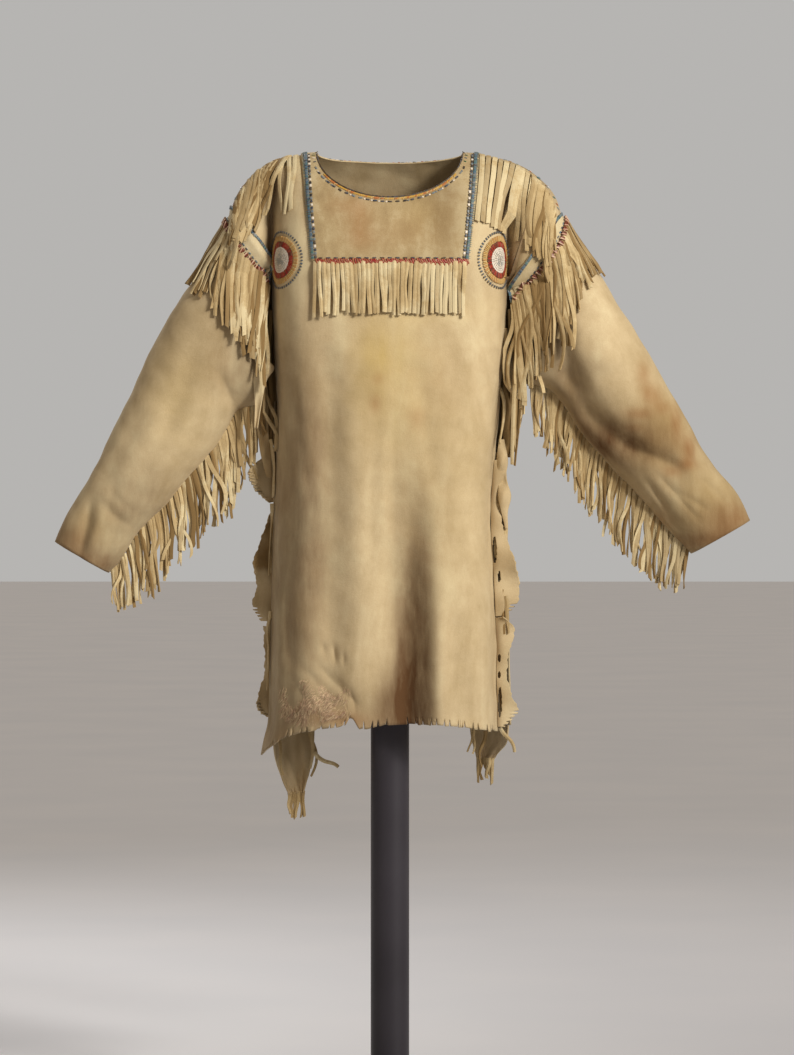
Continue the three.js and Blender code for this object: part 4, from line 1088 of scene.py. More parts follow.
for name, side in SIDES.items():
    stitches = []
    for ring in DISC_RINGS:
        points, normals, shown = disc_course(side["sign"], ring["at"], LYING + 0.6)
        if not shown.all():     # the ring starts and ends at the arm fold
            order = (np.arange(DISC_POINTS) + DISC_POINTS - 1 - np.argmax(~shown[::-1])) % DISC_POINTS
            keep = order[shown[order]]
            points, normals = points[keep], normals[keep]
        lengths = np.arange(len(points)) * ring["at"] * 2 * math.pi / (DISC_POINTS - 1)
        sew(stitches, (points, normals, lengths), ring["pitch"], (ring["long"], ring["wide"], 1.1),
            ring["dyes"], turn=ring["turn"] * ACROSS, loose=0.05)
    finish_piece(bind_off(f"{name}_chest_disc", stitches), "disc_work", f"rosette_{name}")

# ---- bib fringe -------------------------------------------------------------------------------------------
# Strips cut from one edge of soft hide, each wrapped with quill at its top. Like all the shirt's fringe they
# were cut with a knife by eye, so widths differ, edges curl back, and each lies its own way.
STRIP_CELLS = 12
STRIP_WALL = 1.5
cutting = random.Random(23)
strip_hide = buckskin_material("fringe_buckskin", 0xDCCDA6, 0xCCB78C, 0xB0976B, 0.6)

# The outer faces of the hides, in mm, which the strips lie on.
spots, faces = [], []
for piece in (front_hide, back_hide, *sleeve_hides.values()):
    first = len(spots)
    spots += [vert.co / MM for vert in piece.data.vertices]
    faces += [[first + corner for corner in face.vertices] for face in piece.data.polygons]
all_hides = BVHTree.FromPolygons(spots, faces)
FAR = 40                        # a hide further away than this doesn't matter to a strip
BESIDE = 1.5                    # nor does one whose edge it hangs past by more than this
SUNK = -30                      # deeper than this is the far side of a hide


def hang(root, way, out, long, lift, ease=0.25, drift=(0, 0, 0), wave=0.1):
    """One strip from its root: it leaves the seam one way, falls, and lies off whatever is behind it."""
    step, spots, outs = long / STRIP_CELLS, [root], [out]
    phase, beats = cutting.uniform(0, 6.28), cutting.uniform(0.6, 1.5)
    fall = (Vector((0, 0, -1)) + Vector(drift)).normalized()
    for number in range(STRIP_CELLS):
        share = (number + 1) / STRIP_CELLS
        side = way.cross(outs[-1]).normalized()
        sway = side * (wave * math.sin(phase + share * beats * 6.28)) * min(1, share * 3)
        way = (way.lerp(fall, ease) + sway * 0.6).normalized()
        spot = spots[-1] + way * step
        near, normal, _, far = all_hides.find_nearest(spot)
        facing = outs[-1]
        if near is not None and far < FAR:
            off = (spot - near).dot(normal)
            beside = math.sqrt(max(far * far - off * off, 0))
            if beside < BESIDE and SUNK < off < lift:
                spot = spot + normal * (lift - off)
                facing = outs[-1].lerp(normal, 0.6)
            elif beside < BESIDE and normal.z > 0:      # its weight lays it on what slopes below it
                spot = spot - normal * (off - lift) * min(1, 0.3 + 2 * normal.z)
                facing = outs[-1].lerp(normal, 0.5)
        way = (spot - spots[-1]).normalized()
        spots.append(spot)
        outs.append((facing - way * facing.dot(way)).normalized())
    return spots, outs


def cut_strip(strips, spots, outs, wide, shade, curl=0.8, taper=0.15, twist=0.0, slant=0.0):
    """A ribbon along a strip's line: its edges curl back, and it narrows and may twist towards its end."""
    rows = []
    for row in range(STRIP_CELLS + 1):
        share = row / STRIP_CELLS
        way = (spots[min(row + 1, STRIP_CELLS)] - spots[max(row - 1, 0)]).normalized()
        out = Matrix.Rotation(twist * share ** 1.5, 3, way) @ outs[row]
        reach = way.cross(out).normalized() * (wide / 2 * (1 - taper * share ** 2))
        reach += way * (slant if row == STRIP_CELLS else 0)
        rows.append([spots[row] - reach, spots[row] + out * curl, spots[row] + reach])
    strips.append((rows, shade))


def fringe_piece(name, strips, slot, *nodes):
    """Ends a fringe: its strips are made as one mesh of ribbons and get their thickness."""
    bm = bmesh.new()
    bmesh.ops.create_grid(bm, x_segments=2, y_segments=STRIP_CELLS, size=0.5)
    down = [0.5 - vert.co.y for vert in bm.verts]
    lines = np.array([rows for rows, _ in strips])

    def place(shape):
        row = np.round((0.5 - shape[:, 1]) * STRIP_CELLS).astype(int)
        return lines[:, row, np.round(shape[:, 0] * 2).astype(int) + 1]

    # Each strip has a shade of its own, a tone that differs at random from strip to strip and grows a little
    # towards the tip. The darkest strips also get the grime mark: painted shade that stands in for the shadow
    # between strips.
    shades = [[shade + 0.12 * share for share in down] for _, shade in strips]
    grime_and_shade_weights = [[max(0, 2 * shade - 1.6)] * len(down) for _, shade in strips]
    piece = joined(name, bm, place, strip_hide,
                   [("shade", "FLOAT", "value", shades), ("grime_and_shade", "FLOAT", "value", grime_and_shade_weights)])
    piece.data.shade_flat()     # a knife leaves them flat, with square edges
    thicken(piece, STRIP_WALL)
    finish_piece(piece, slot, *nodes)
    return piece


def surface_frame(surface, u, v, lift):
    """A place over a surface as vectors: the spot, outward, and down the surface."""
    spot, next_spot = surface(np.array(u), np.array(v)), surface(np.array(u), np.array(v) + 2e-3)
    out = Vector(outward(surface, np.array(u), np.array(v)))
    return Vector(spot) + out * lift, out, Vector(next_spot - spot).normalized()


BIB_STRIPS = 35
strips = []
for number in range(BIB_STRIPS):
    u = lerp(-BIB_U + 0.015, BIB_U - 0.015, (number + 0.5) / BIB_STRIPS)
    lift = STRIP_WALL + HIDE + GAP + cutting.choice((0, 0, 0.9, 1.6))
    root, out, down = surface_frame(front, u, float(front.down_to(np.array(u), BIB_BOTTOM_Z)), lift)
    last = number in (0, 1, BIB_STRIPS - 1)
    spots, outs = hang(root, down, out, cutting.gauss(82, 1.6) + 5 * last, lift,
                       wave=cutting.gauss(0, 0.05), drift=(cutting.gauss(0, 0.02), 0, 0))
    cut_strip(strips, spots, outs, cutting.uniform(5.0, 6.6), cutting.choice((0, 0.05, 0.15, 0.4)),
              curl=cutting.uniform(0.3, 1.1), taper=cutting.uniform(-0.1, 0.3), twist=cutting.gauss(0, 0.25),
              slant=cutting.gauss(0, 0.8))
bib_fringe = fringe_piece("bib_strips", strips, "fringe_hide", "bib_fringe")

# ---- shoulder fringes -------------------------------------------------------------------------------------
# Strips let in to the shoulder seam. On the left they slant out over the shoulder; on the right those by the
# bib lie flat and edge to edge, and the outer ones fall free. A few quill stitches cover the seam.
# `first` and `last` are shares across, `lean` is the way they leave the seam (outwards is above 0).
SHOULDER_GROUPS = {
    "left": table(
        "first last count wide long outer_long lean wave shade",
        (0.66, 0.705, 3, 6.4, 116, 122, 0.1, 0.08, 0.1),
        (0.68, 0.82, 13, 7.0, 130, 124, 0.46, 0.08, 0.3),
        (0.71, 0.93, 16, 6.8, 128, 112, 0.52, 0.1, 0.35),
        (0.78, 0.975, 14, 6.4, 106, 92, 0.5, 0.1, 0.3)),
    "right": table(
        "first last count wide long outer_long lean wave shade",
        (0.645, 0.80, 9, 8.4, 142, 122, 0.0, 0.012, 0.14),
        (0.78, 0.87, 5, 8.0, 124, 122, 0.12, 0.05, 0.25),
        (0.80, 0.95, 13, 6.6, 122, 114, 0.2, 0.1, 0.35),
        (0.87, 0.98, 11, 6.0, 104, 92, 0.22, 0.12, 0.4)),
}
# The seam lies off the ridge, more so towards the arm.
RIDGE_LINE = table("u v", (0.6, 0.035), (0.72, 0.04), (0.85, 0.085), (1.0, 0.13))
for name, side in SIDES.items():
    for hide, facing in ((front, "front"), (back, "back")):
        strips = []
        for layer, group in enumerate(SHOULDER_GROUPS[name]):
            for number in range(group["count"]):
                share = (number + 0.5 + cutting.uniform(-0.25, 0.25) * (group["lean"] > 0)) / group["count"]
                u = side["sign"] * lerp(group["first"], group["last"], share)
                lift = STRIP_WALL + 0.5 + 1.3 * layer + cutting.uniform(0, 1.4)
                root, out, down = surface_frame(hide, u, float(sample(RIDGE_LINE, "u", "v", abs(u))), lift)
                aside = Vector((side["sign"], 0, 0))
                leaning = (aside - out * aside.dot(out)) * group["lean"] * cutting.uniform(0.7, 1.3)
                way = (down + leaning).normalized()
                even = 0.015 if group["lean"] == 0 else 0.09
                long = lerp(group["long"], group["outer_long"], share) * cutting.uniform(1 - even, 1 + even)
                spots, outs = hang(root, way, out, long, lift,
                                   ease=0.1, drift=(side["sign"] * group["lean"] * 1.1, 0, 0),
                                   wave=cutting.gauss(0, group["wave"]))
                cut_strip(strips, spots, outs, group["wide"] * cutting.uniform(0.8, 1.15),
                          group["shade"] * cutting.choice((0, 0.4, 1.4, 3.8)),
                          curl=cutting.uniform(0.1, 0.8), taper=cutting.uniform(0, 0.3) * (group["lean"] > 0),
                          twist=cutting.gauss(0, 4 * group["wave"]), slant=cutting.gauss(0, 1.0))
        nodes = [f"shoulder_fringe_{name}"] if hide is front else []
        fringe_piece(f"{name}_{facing}_shoulder_strips", strips, "fringe_hide", *nodes)
    stitches = []
    u = side["sign"] * np.linspace(0.70, 0.985, 80)
    line = course(front, u, sample(RIDGE_LINE, "u", "v", np.abs(u)) * 0.55, LYING)
    for pitch, dyes in ((19, [(TEAL, GREY_BLUE)]), (31, [(RUST, 0x8A6A44)])):
        sew(stitches, line, pitch, (6, 2.2, 1.4), dyes, turn=0.9, loose=0.4)
        sew(stitches, line, pitch, (4, 1.8, 1.4), [(WHITE, NAVY)],
            turn=0.4, aside=side["sign"] * 3, loose=0.4, skip=0.4)
    finish_piece(bind_off(f"{name}_shoulder_work", stitches), "blue_work")

# ---- arm bands and arm fringes ----------------------------------------------------------------------------
# A strip of pale hide laid over each shoulder seam. It has a line of blue quill along the seam, short blue
# dashes, and a lower edge wrapped in dark red between pale stitches, from which a long fringe hangs.
# Widths from the seam, on the body and on the arm, by share of the turn round the shoulder from its top.
STRAPS = {
    "left": table(
        "turn body arm",
        (-0.3, 8, 20), (0, 8, 14), (0.12, 9, 19), (0.22, 10, 22), (0.3, 8, 21), (0.345, 0, 12),
        (0.385, 0, 3)),
    "right": table(
        "turn body arm",
        (-0.3, 4, 24), (0, 2, 10), (0.12, 2, 24), (0.2, 2, 34), (0.28, 2, 35), (0.34, 0, 22), (0.395, 0, 3)),
}
SHOULDER_HALF = 190
pale_buckskin = buckskin_material("pale_band_buckskin", 0xDDD1B2, 0xCFC09C, 0xB9A67E, 0.5)


def over_shoulder(name, lift):
    """Lays a strap round the shoulder: its upper part lies on the body hides, its lower on the sleeve."""
    side, sleeve = SIDES[name], sleeves[name]

    def place(across, down):
        rows = STRAPS[name]
        turn = lerp(rows[0]["turn"], rows[-1]["turn"], across)
        off = lerp(-sample(rows, "turn", "body", turn), sample(rows, "turn", "arm", turn), down)
        v = KNEE_V * np.minimum(np.abs(turn) / SEAM_TURN, 1)
        u = side["sign"] * (1 - np.maximum(-off, 0) / SHOULDER_HALF)
        low = sleeve.down_to(turn, np.maximum(off, 0))
        behind = (turn < 0)[..., None]
        body = np.where(behind, back(u, v), front(u, v))
        body_out = np.where(behind, outward(back, u, v), outward(front, u, v))
        arm, arm_out = sleeve(turn, low), outward(sleeve, turn, np.maximum(low, 0.006))
        points = np.where((off < 0)[..., None], body, arm)
        normals = lerp(body_out, arm_out, smoothstep(off, -5, 5)[..., None])
        normals = normals / np.linalg.norm(normals, axis=-1, keepdims=True)
        return points + normals * lift, normals
    return place


def along_strap(name, down, lift):
    """A line of stitches along a strap, at a share down its width."""
    across = np.linspace(0.02, 0.98, 140)
    points, normals = over_shoulder(name, lift)(across, np.full_like(across, down))
    return points, normals, measured(points)


ARM_LEAN = {"left": 1, "right": 0.5}
ARM_STRIPS = table(
    "first last count left right lean drift lift",
    (-0.3, -0.14, 13, 128, 130, 0.1, 0.0, 1.6),
    (-0.2, 0.02, 18, 116, 104, 0.6, 0.1, 0),
    (-0.02, 0.12, 13, 116, 100, 0.8, 0.2, 1.5),
    (0.04, 0.2, 15, 120, 104, 0.4, 0.1, 0),
    (0.1, 0.3, 20, 134, 128, 0.1, 0.0, 1.6),
    (0.17, 0.38, 22, 138, 158, 0.0, -0.02, 3.4),
    (0.24, 0.385, 16, 130, 166, 0.0, -0.02, 1.2),
    (0.39, 0.5, 10, 126, 150, 0.0, -0.02, 0.8))
arm_bands, arm_fringes = {}, {}
for name, side in SIDES.items():
    sleeve = sleeves[name]
    lift = LYING + 0.6 + HIDE
    arm_bands[name] = lay_out(f"{name}_arm_strap", (90, 22), over_shoulder(name, lift), pale_buckskin)
    finish_piece(arm_bands[name], "buckskin", f"arm_band_{name}")

    stitches = []
    sew(stitches, along_strap(name, 0.06, lift), 1.7, (4.8, 1.6, 1.2), [BLUES], turn=ACROSS, loose=0.12)
    sew(stitches, along_strap(name, 0.93, lift + 1.2), 8.4, (6.6, 9.0, 3.0), [(DARK_RED, 0x5A1F18, DARK_RED)],
        loose=0.1)
    sew(stitches, along_strap(name, 0.93, lift + 1.8), 8.4, (11.0, 1.9, 3.2), [(0xD9B9A0, 0xC79A84)],
        turn=ACROSS + 0.3, start=4.2, loose=0.15)
    sew(stitches, along_strap(name, 0.68, lift), 8.4, (4.6, 2.0, 1.0), [(BLUE, GREY_BLUE, NAVY)], loose=0.15)
    sew(stitches, along_strap(name, 0.68, lift), 8.4, (2.4, 1.8, 0.8), [(WHITE, 0xC7B9A2)],
        start=4, loose=0.3, skip=0.2)
    finish_piece(bind_off(f"{name}_arm_work", stitches), "blue_work")

    strips = []
    for group in ARM_STRIPS:
        for number in range(group["count"]):
            share = (number + 0.5 + cutting.uniform(-0.3, 0.3)) / group["count"]
            turn = lerp(group["first"], group["last"], share)
            lift = STRIP_WALL + 1.0 + group["lift"] + cutting.choice((0, 0.8, 1.8))
            edge = float(sample(STRAPS[name], "turn", "arm", turn)) - 1
            v = float(sleeve.down_to(np.array([turn]), edge)[0])
            root, out, down = surface_frame(sleeve, turn, max(v, 0.004), lift + 0.6)
            lean = group["lean"] * ARM_LEAN[name]
            way = (down * max(lean, 0.3) + Vector((0, 0, -1)) * (1 - lean)).normalized()
            spots, outs = hang(root, way, out, group[name] * cutting.uniform(0.8, 1.06), lift,
                               ease=0.16, drift=(side["sign"] * group["drift"] * ARM_LEAN[name], 0, 0),
                               wave=cutting.gauss(0, 0.13))
            cut_strip(strips, spots, outs, cutting.uniform(5.0, 7.4), cutting.choice((0, 0.2, 0.7, 1.8)),
                      curl=cutting.uniform(0.1, 1.0), taper=cutting.uniform(-0.1, 0.4),
                      twist=cutting.gauss(0, 0.8), slant=cutting.gauss(0, 1.4))
    arm_fringes[name] = fringe_piece(f"{name}_arm_strips", strips, "fringe_hide", f"arm_fringe_{name}")

# ---- sleeve fringes ---------------------------------------------------------------------------------------
# One long edge of strips caught in the seam below each sleeve, over a narrow welt. They hang free, twist, and
# cross each other. Lengths by share of the sleeve's length.
SLEEVE_STRIPS = table(
    "v left right",
    (0.1, 88, 84), (0.3, 118, 96), (0.6, 112, 104), (0.85, 104, 100), (0.98, 66, 70))
STRIP_COUNT = 106
sleeve_fringes = {}
for name, side in SIDES.items():
    sleeve = sleeves[name]
    strips = []
    for number in range(STRIP_COUNT):
        v = lerp(0.1, 0.985, (number + 0.5 + cutting.uniform(-0.4, 0.4)) / STRIP_COUNT)
        spot = Vector(sleeve(np.array(1.0), np.array(v)))
        out = Vector(outward(sleeve, np.array(1.0), np.array(v)))
        out = Vector((out.x, 0, out.z)).normalized()
        forward = cutting.uniform(-3.5, 3.0)
        root = spot + out * 1.0 + Vector((0, forward, 0))
        fall = Vector((side["sign"] * cutting.gauss(0.02, 0.1), cutting.gauss(0, 0.06), -1))
        way = (out * 0.5 + fall).normalized()
        face = Vector((cutting.gauss(0, 0.35), -1, 0)).normalized()
        long = float(sample(SLEEVE_STRIPS, "v", name, v)) * cutting.uniform(0.82, 1.04)
        spots, outs = hang(root, way, face, long, 2.0, ease=0.2,
                           drift=(cutting.gauss(0, 0.05), cutting.gauss(0, 0.03), 0),
                           wave=cutting.gauss(0, 0.16))
        cut_strip(strips, spots, outs, cutting.uniform(3.8, 6.8), cutting.choice((0, 0.1, 0.5, 1.3)),
                  curl=cutting.uniform(0.1, 1.2), taper=cutting.uniform(-0.1, 0.45),
                  twist=cutting.gauss(0, 1.2), slant=cutting.gauss(0, 1.8))
    sleeve_fringes[name] = fringe_piece(f"{name}_sleeve_strips", strips, "fringe_hide",
                                        f"sleeve_fringe_{name}")

# ---- side flaps and thongs --------------------------------------------------------------------------------
# The open sides keep the skins' own edges: flaps cut with teeth, pierced where the hides were staked, and
# thongs that once tied front to back. Rows give reach beyond the edge and swing (forward below 0) by height.
FLAPS = {
    "left_leaf": {"side": "left", "hide": back, "teeth": (966, 1010, 7), "ripple": 3, "rows": table(
        "z reach swing",
        (962, 8, -4), (985, 32, -10), (1012, 38, -12), (1040, 8, -4))},
    "left_upper": {"side": "left", "hide": back, "teeth": (778, 800, 8), "dark": (850, 930), "ripple": 5,
                   "rows": table(
                       "z reach swing",
                       (776, 18, 4), (796, 32, 6), (836, 26, -4), (866, 31, -8), (920, 14, -4), (950, 3, 0))},
    "left_lower": {"side": "left", "hide": back, "teeth": (626, 652, 7), "ripple": 4, "rows": table(
        "z reach swing",
        (626, 9, -2), (644, 22, -6), (700, 12, 3), (768, 15, 2))},
    "right_upper": {"side": "right", "hide": back, "teeth": (1034, 1040, 3), "ripple": 3, "rows": table(
        "z reach swing",
        (1034, 8, -8), (1068, 18, -12), (1106, 26, -8))},
    "right_middle": {"side": "right", "hide": front, "teeth": (786, 806, 12), "ripple": 3, "rows": table(
        "z reach swing",
        (784, 14, 8), (800, 32, 8), (826, 40, 4), (868, 35, -5), (922, 20, 4), (962, 13, 8), (1028, 22, 4)),
        "holes": table("x z wide tall", (6, 888, 3.0, 21), (13, 846, 1.8, 8))},
    "right_lower": {"side": "right", "hide": front, "teeth": (614, 640, 9), "ripple": 4, "rows": table(
        "z reach swing",
        (612, 12, 2), (634, 33, 10), (660, 24, 4), (692, 16, -4), (732, 21, 4), (764, 30, 2), (782, 12, -6)),
        "holes": table("x z wide tall", (6, 719, 2.4, 6), (6, 693, 2.4, 5), (7, 650, 2.8, 24))},
}
TOOTH_PITCH = 5.2
FLAP_ROOT_U = {"left": 0.985, "right": 0.99}


def pierce(piece, inside):
    """Cuts away the faces of a flat sheet where `inside` is below 1, by each face's middle in mm."""
    bm = bmesh.new()
    bm.from_mesh(piece.data)
    gone = [face for face in bm.faces if inside(face.calc_center_median() / MM) < 1]
    bmesh.ops.delete(bm, geom=gone, context="FACES")
    bmesh.ops.smooth_vert(bm, verts=[v for v in bm.verts if v.is_boundary and inside(v.co / MM) < 2.2],
                          factor=0.5, use_axis_x=True, use_axis_y=True, use_axis_z=True)
    bm.to_mesh(piece.data)
    bm.free()


flaps = {}
for name, flap in FLAPS.items():
    side, hide, rows = SIDES[flap["side"]], flap["hide"], flap["rows"]
    low, high = rows[0]["z"], rows[-1]["z"]
    root_u = side["sign"] * FLAP_ROOT_U[flap["side"]]

    def place(across, down):
        z = lerp(high, low, down)
        v = hide.down_to(np.full_like(z, root_u), z)
        root = hide(root_u, v) + outward(hide, np.full_like(z, root_u), v) * (LYING + GAP)
        first, last, deep = flap["teeth"]
        tooth = ((z / TOOTH_PITCH) % 1 < 0.4) * (z > first) * (z < last) * deep
        reach = sample(rows, "z", "reach", z) * across - tooth * across ** 6
        reach += (0.8 * np.sin(z / 5.3) + 0.6 * np.sin(z / 2.3 + 2) + 0.4 * np.sin(z / 1.3)) * across ** 4
        ripple = flap["ripple"] * np.sin(z / 11 + 1.3) * across
        root[:, 0] += side["sign"] * reach
        root[:, 1] += across ** 2 * sample(rows, "z", "swing", z) + ripple
        return root, np.broadcast_to([0.0, -1.0, 0.0], root.shape)

    piece = lay_out(f"{name}_flap", (22, max(24, int((high - low) / 1.3))), place, buckskin, wall=0)
    rooted = side["sign"] * float(np.abs(points_of(piece)[:, 0]).min())
    for hole in flap.get("holes", ()):
        pierce(piece, lambda spot: ((abs(spot.x - rooted) - hole["x"]) / hole["wide"]) ** 2
               + ((spot.z - hole["z"]) / hole["tall"]) ** 2)
    points = points_of(piece)
    low_dark, high_dark = flap.get("dark", (0, 1))
    # Painted shade: each flap is darker along its root, where it leaves the hide, and in waves that follow
    # its ripple. Between its dark heights it is darker. The grime mark paints dark streaks of shade along the
    # root.
    mark(piece, "shade", 0.5 * np.exp(-np.abs(points[:, 0] - rooted) / 7)
         + 0.14 * (1 - np.sin(points[:, 2] / 11 + 1.3))
         + 0.7 * smoothstep(points[:, 2], low_dark, low_dark + 14) * (points[:, 2] < high_dark))
    mark(piece, "grime_and_shade", 0.85 * np.exp(-((points[:, 0] - rooted) / 7) ** 2)
         * (0.6 + 0.4 * np.sin(points[:, 2] / 19)))
    thicken(piece, 1.9)
    finish_piece(piece, "buckskin", f"flap_{name}")
    flaps[name] = piece

# Leaves of soft hide that hang by one corner at the underarm and along the sides. Rows: distance down, the
# two edges across from the hanging point, and how far forward.
# The inner and dark leaves get a high shade: painted shade, dark sheets hung in the open sides where shadow
# shows.
LEAVES = {
    "left_underarm_leaf": {"at": (-200, -42, 1204), "shade": 0.0, "rows": table(
        "down from to out",
        (0, -14, -4, 0), (20, -15, 9, -3), (34, -14, 21, -6), (52, -12, 10, -3), (92, -9, 0, 2),
        (128, -9, -6, 4))},
    "left_inner_leaf": {"at": (-190, 12, 1316), "shade": 1.3, "rows": table(
        "down from to out",
        (0, -4, 10, 0), (60, -9, 12, -2), (130, -12, 14, 3), (230, -14, 12, -3), (280, -6, 6, 0))},
    "right_inner_leaf": {"at": (190, 10, 1290), "shade": 1.3, "rows": table(
        "down from to out",
        (0, -8, 4, 0), (60, -12, 12, -2), (140, -16, 22, 3), (200, -16, 16, -3), (240, -4, 4, 0))},
    "left_dark_leaf": {"at": (-194, -10, 1150), "shade": 0.7, "rows": table(
        "down from to out",
        (0, -3, 2, 0), (30, -9, 5, -2), (70, -12, 4, 3), (110, -8, 8, -3), (150, 2, 9, 0))},
    "right_underarm_leaf": {"at": (179, -34, 1232), "shade": 0.1, "rows": table(
        "down from to out",
        (0, -2, 3, 0), (30, -3, 6, -3), (60, -3, 12, -7), (86, -2, 20, -6), (110, 16, 22, -2))},
    "right_dark_leaf": {"at": (184, 6, 1150), "shade": 0.95, "rows": table(
        "down from to out",
        (0, -8, -5, 0), (24, -10, 16, -4), (44, -6, 20, -8), (80, -8, 16, -3), (118, -6, 4, 3))},
    "right_pleat": {"at": (172, -8, 1060), "shade": 0.1, "rows": table(
        "down from to out",
        (0, -2, 6, 0), (34, -6, 12, -6), (60, -2, 9, 2), (88, -4, 17, -5), (112, 1, 12, -2),
        (140, 8, 11, 0))},
}
leaves = {}
for name, leaf in LEAVES.items():
    def place(across, down):
        drop = down * leaf["rows"][-1]["down"]
        x = lerp(sample(leaf["rows"], "down", "from", drop), sample(leaf["rows"], "down", "to", drop), across)
        y = sample(leaf["rows"], "down", "out", drop) * np.sin(across * 3.0 + 0.3)
        y = y + 1.5 * np.sin(drop / 9 + x / 5)
        points = np.stack([leaf["at"][0] + x, leaf["at"][1] + y, leaf["at"][2] - drop], -1)
        return points, np.broadcast_to([0.0, -1.0, 0.0], points.shape)

    piece = lay_out(name, (14, 50), place, buckskin, wall=0)
    mark(piece, "shade", np.full(len(piece.data.vertices), leaf["shade"]))
    thicken(piece, 1.7)
    finish_piece(piece, "buckskin")
    leaves[name] = piece

# Thongs and loose strips down the open sides: where each hangs from, its length, width and shade.
# The darker thongs by the underarms and in the right side's gaps are painted shade: dark strips hung where
# the open sides show shadow.
THONGS = table(
    "x y z long wide shade lean",
    (-181, -6, 790, 120, 4.6, 0.35, -0.02),
    (-186, -8, 792, 90, 4.2, 0.1, 0.0),
    (-189, 2, 782, 140, 5.0, 0.5, 0.02),
    (-184, -20, 1260, 150, 5.0, 0.9, -0.06),
    (-190, -16, 1240, 170, 5.4, 1.0, -0.04),
    (-188, -4, 1236, 200, 6.0, 1.0, 0.0),
    (-196, -24, 1190, 150, 5.4, 0.7, -0.02),
    (-200, -6, 1170, 160, 6.0, 0.9, 0.03),
    (-208, -14, 1150, 110, 5.0, 0.6, 0.0),
    (-186, -10, 1060, 90, 5.6, 0.2, -0.03),
    (-183, -6, 960, 110, 6.4, 0.4, -0.02),
    (186, -24, 1262, 150, 5.0, 0.5, 0.02),
    (191, -14, 1250, 190, 5.6, 0.8, 0.0),
    (197, -20, 1230, 180, 5.4, 0.3, -0.02),
    (202, -6, 1220, 200, 6.0, 1.0, 0.0),
    (192, 0, 1210, 170, 6.4, 1.0, 0.02),
    (207, -30, 1210, 190, 5.6, 0.4, 0.0),
    (168, -16, 1142, 90, 5.6, 0.0, -0.25),
    (165, -2, 1040, 140, 6.0, 0.5, 0.0),
    (169, -1, 1030, 130, 7.0, 0.2, 0.02),
    (174, -3, 1000, 118, 7.0, 0.0, 0.04),
    (167, -2, 960, 84, 7.6, -0.3, 0.0),
    (176, -6, 826, 70, 5.4, 1.2, 0.02),
    (181, -8, 816, 58, 4.6, 0.5, 0.05),
    (170, -1, 745, 110, 5.0, 0.9, 0.02),
    (174, 0, 740, 100, 4.4, 0.4, 0.04))
strips = []
for thong in THONGS:
    root = Vector((thong["x"], thong["y"], thong["z"]))
    way = Vector((thong["lean"] * 2, 0, -1)).normalized()
    spots, outs = hang(root, way, Vector((0, -1, 0)), thong["long"], 1.8,
                       drift=(thong["lean"], 0, 0), wave=cutting.gauss(0, 0.05))
    cut_strip(strips, spots, outs, thong["wide"], thong["shade"], curl=1.0, taper=0.3,
              twist=cutting.gauss(0, 0.9), slant=cutting.gauss(0, 2))
fringe_piece("side_thongs", strips, "fringe_hide")

# ---- leg skins --------------------------------------------------------------------------------------------
# The skins of the animals' hind legs, left on below the back hem. They crumple as they hang, and each ends
# in a few cut strips; a loose string or two curls beside them. Edges are shares of the half width.
LEG_TABS = {
    "left": {"ends": 6, "rows": table(
        "down inner outer",
        (0, -0.64, -0.99), (50, -0.66, -0.97), (90, -0.7, -0.91), (112, -0.73, -0.86)), "long": 44},
    "right": {"ends": 5, "rows": table(
        "down inner outer",
        (0, 0.66, 0.99), (30, 0.69, 0.97), (50, 0.72, 0.9), (58, 0.73, 0.87)), "long": 42},
}
leg_tabs = {}
strips = []
for name, tab in LEG_TABS.items():
    rows, long = tab["rows"], tab["rows"][-1]["down"]

    def place(across, down):
        drop = down * long
        u = lerp(sample(rows, "down", "inner", drop), sample(rows, "down", "outer", drop), across)
        points = back(u, np.ones_like(u))
        points[:, 1] += (2.6 * np.sin(across * 11 + drop / 20) + 1.8 * np.sin(across * 6 - drop / 13)
                         + 1.0 * np.sin(across * 25 + drop / 9)) * (0.3 + down)
        points[:, 2] -= GAP + drop
        return points, np.broadcast_to([0.0, 1.0, 0.0], points.shape)

    piece = lay_out(f"{name}_leg_skin", (34, 44), place, buckskin, wall=0)
    points = points_of(piece)
    # Painted shade just below the back hem, and fine darker streaks down the skin.
    mark(piece, "shade", 0.4 * np.exp(-np.abs(points[:, 2] - 615) / 16)
         + 0.12 * (1 + np.sin(points[:, 0] / 3)))
    mark(piece, "rust", 0.25 * np.exp(-np.abs(points[:, 2] - (606 - long)) / 26))
    thicken(piece, 2.0)
    finish_piece(piece, "buckskin", f"leg_tab_{name}")
    leg_tabs[name] = piece
    for number in range(tab["ends"]):
        share = np.array([(number + 0.5) / tab["ends"]])
        root = Vector(place(share, np.array([0.97]))[0][0])
        way = Vector((0.25 * (0.5 - share[0]) * SIDES[name]["sign"], cutting.gauss(0, 0.08), -1)).normalized()
        spots, outs = hang(root, way, Vector((cutting.gauss(0, 0.5), -1, 0)).normalized(),
                           tab["long"] * cutting.uniform(0.7, 1.02), 1.8, wave=cutting.gauss(0, 0.2))
        cut_strip(strips, spots, outs, cutting.uniform(5, 7.5), cutting.choice((0.1, 0.3, 0.55)), curl=1.4,
                  taper=0.4, twist=cutting.gauss(0, 1.2), slant=cutting.gauss(0, 3))
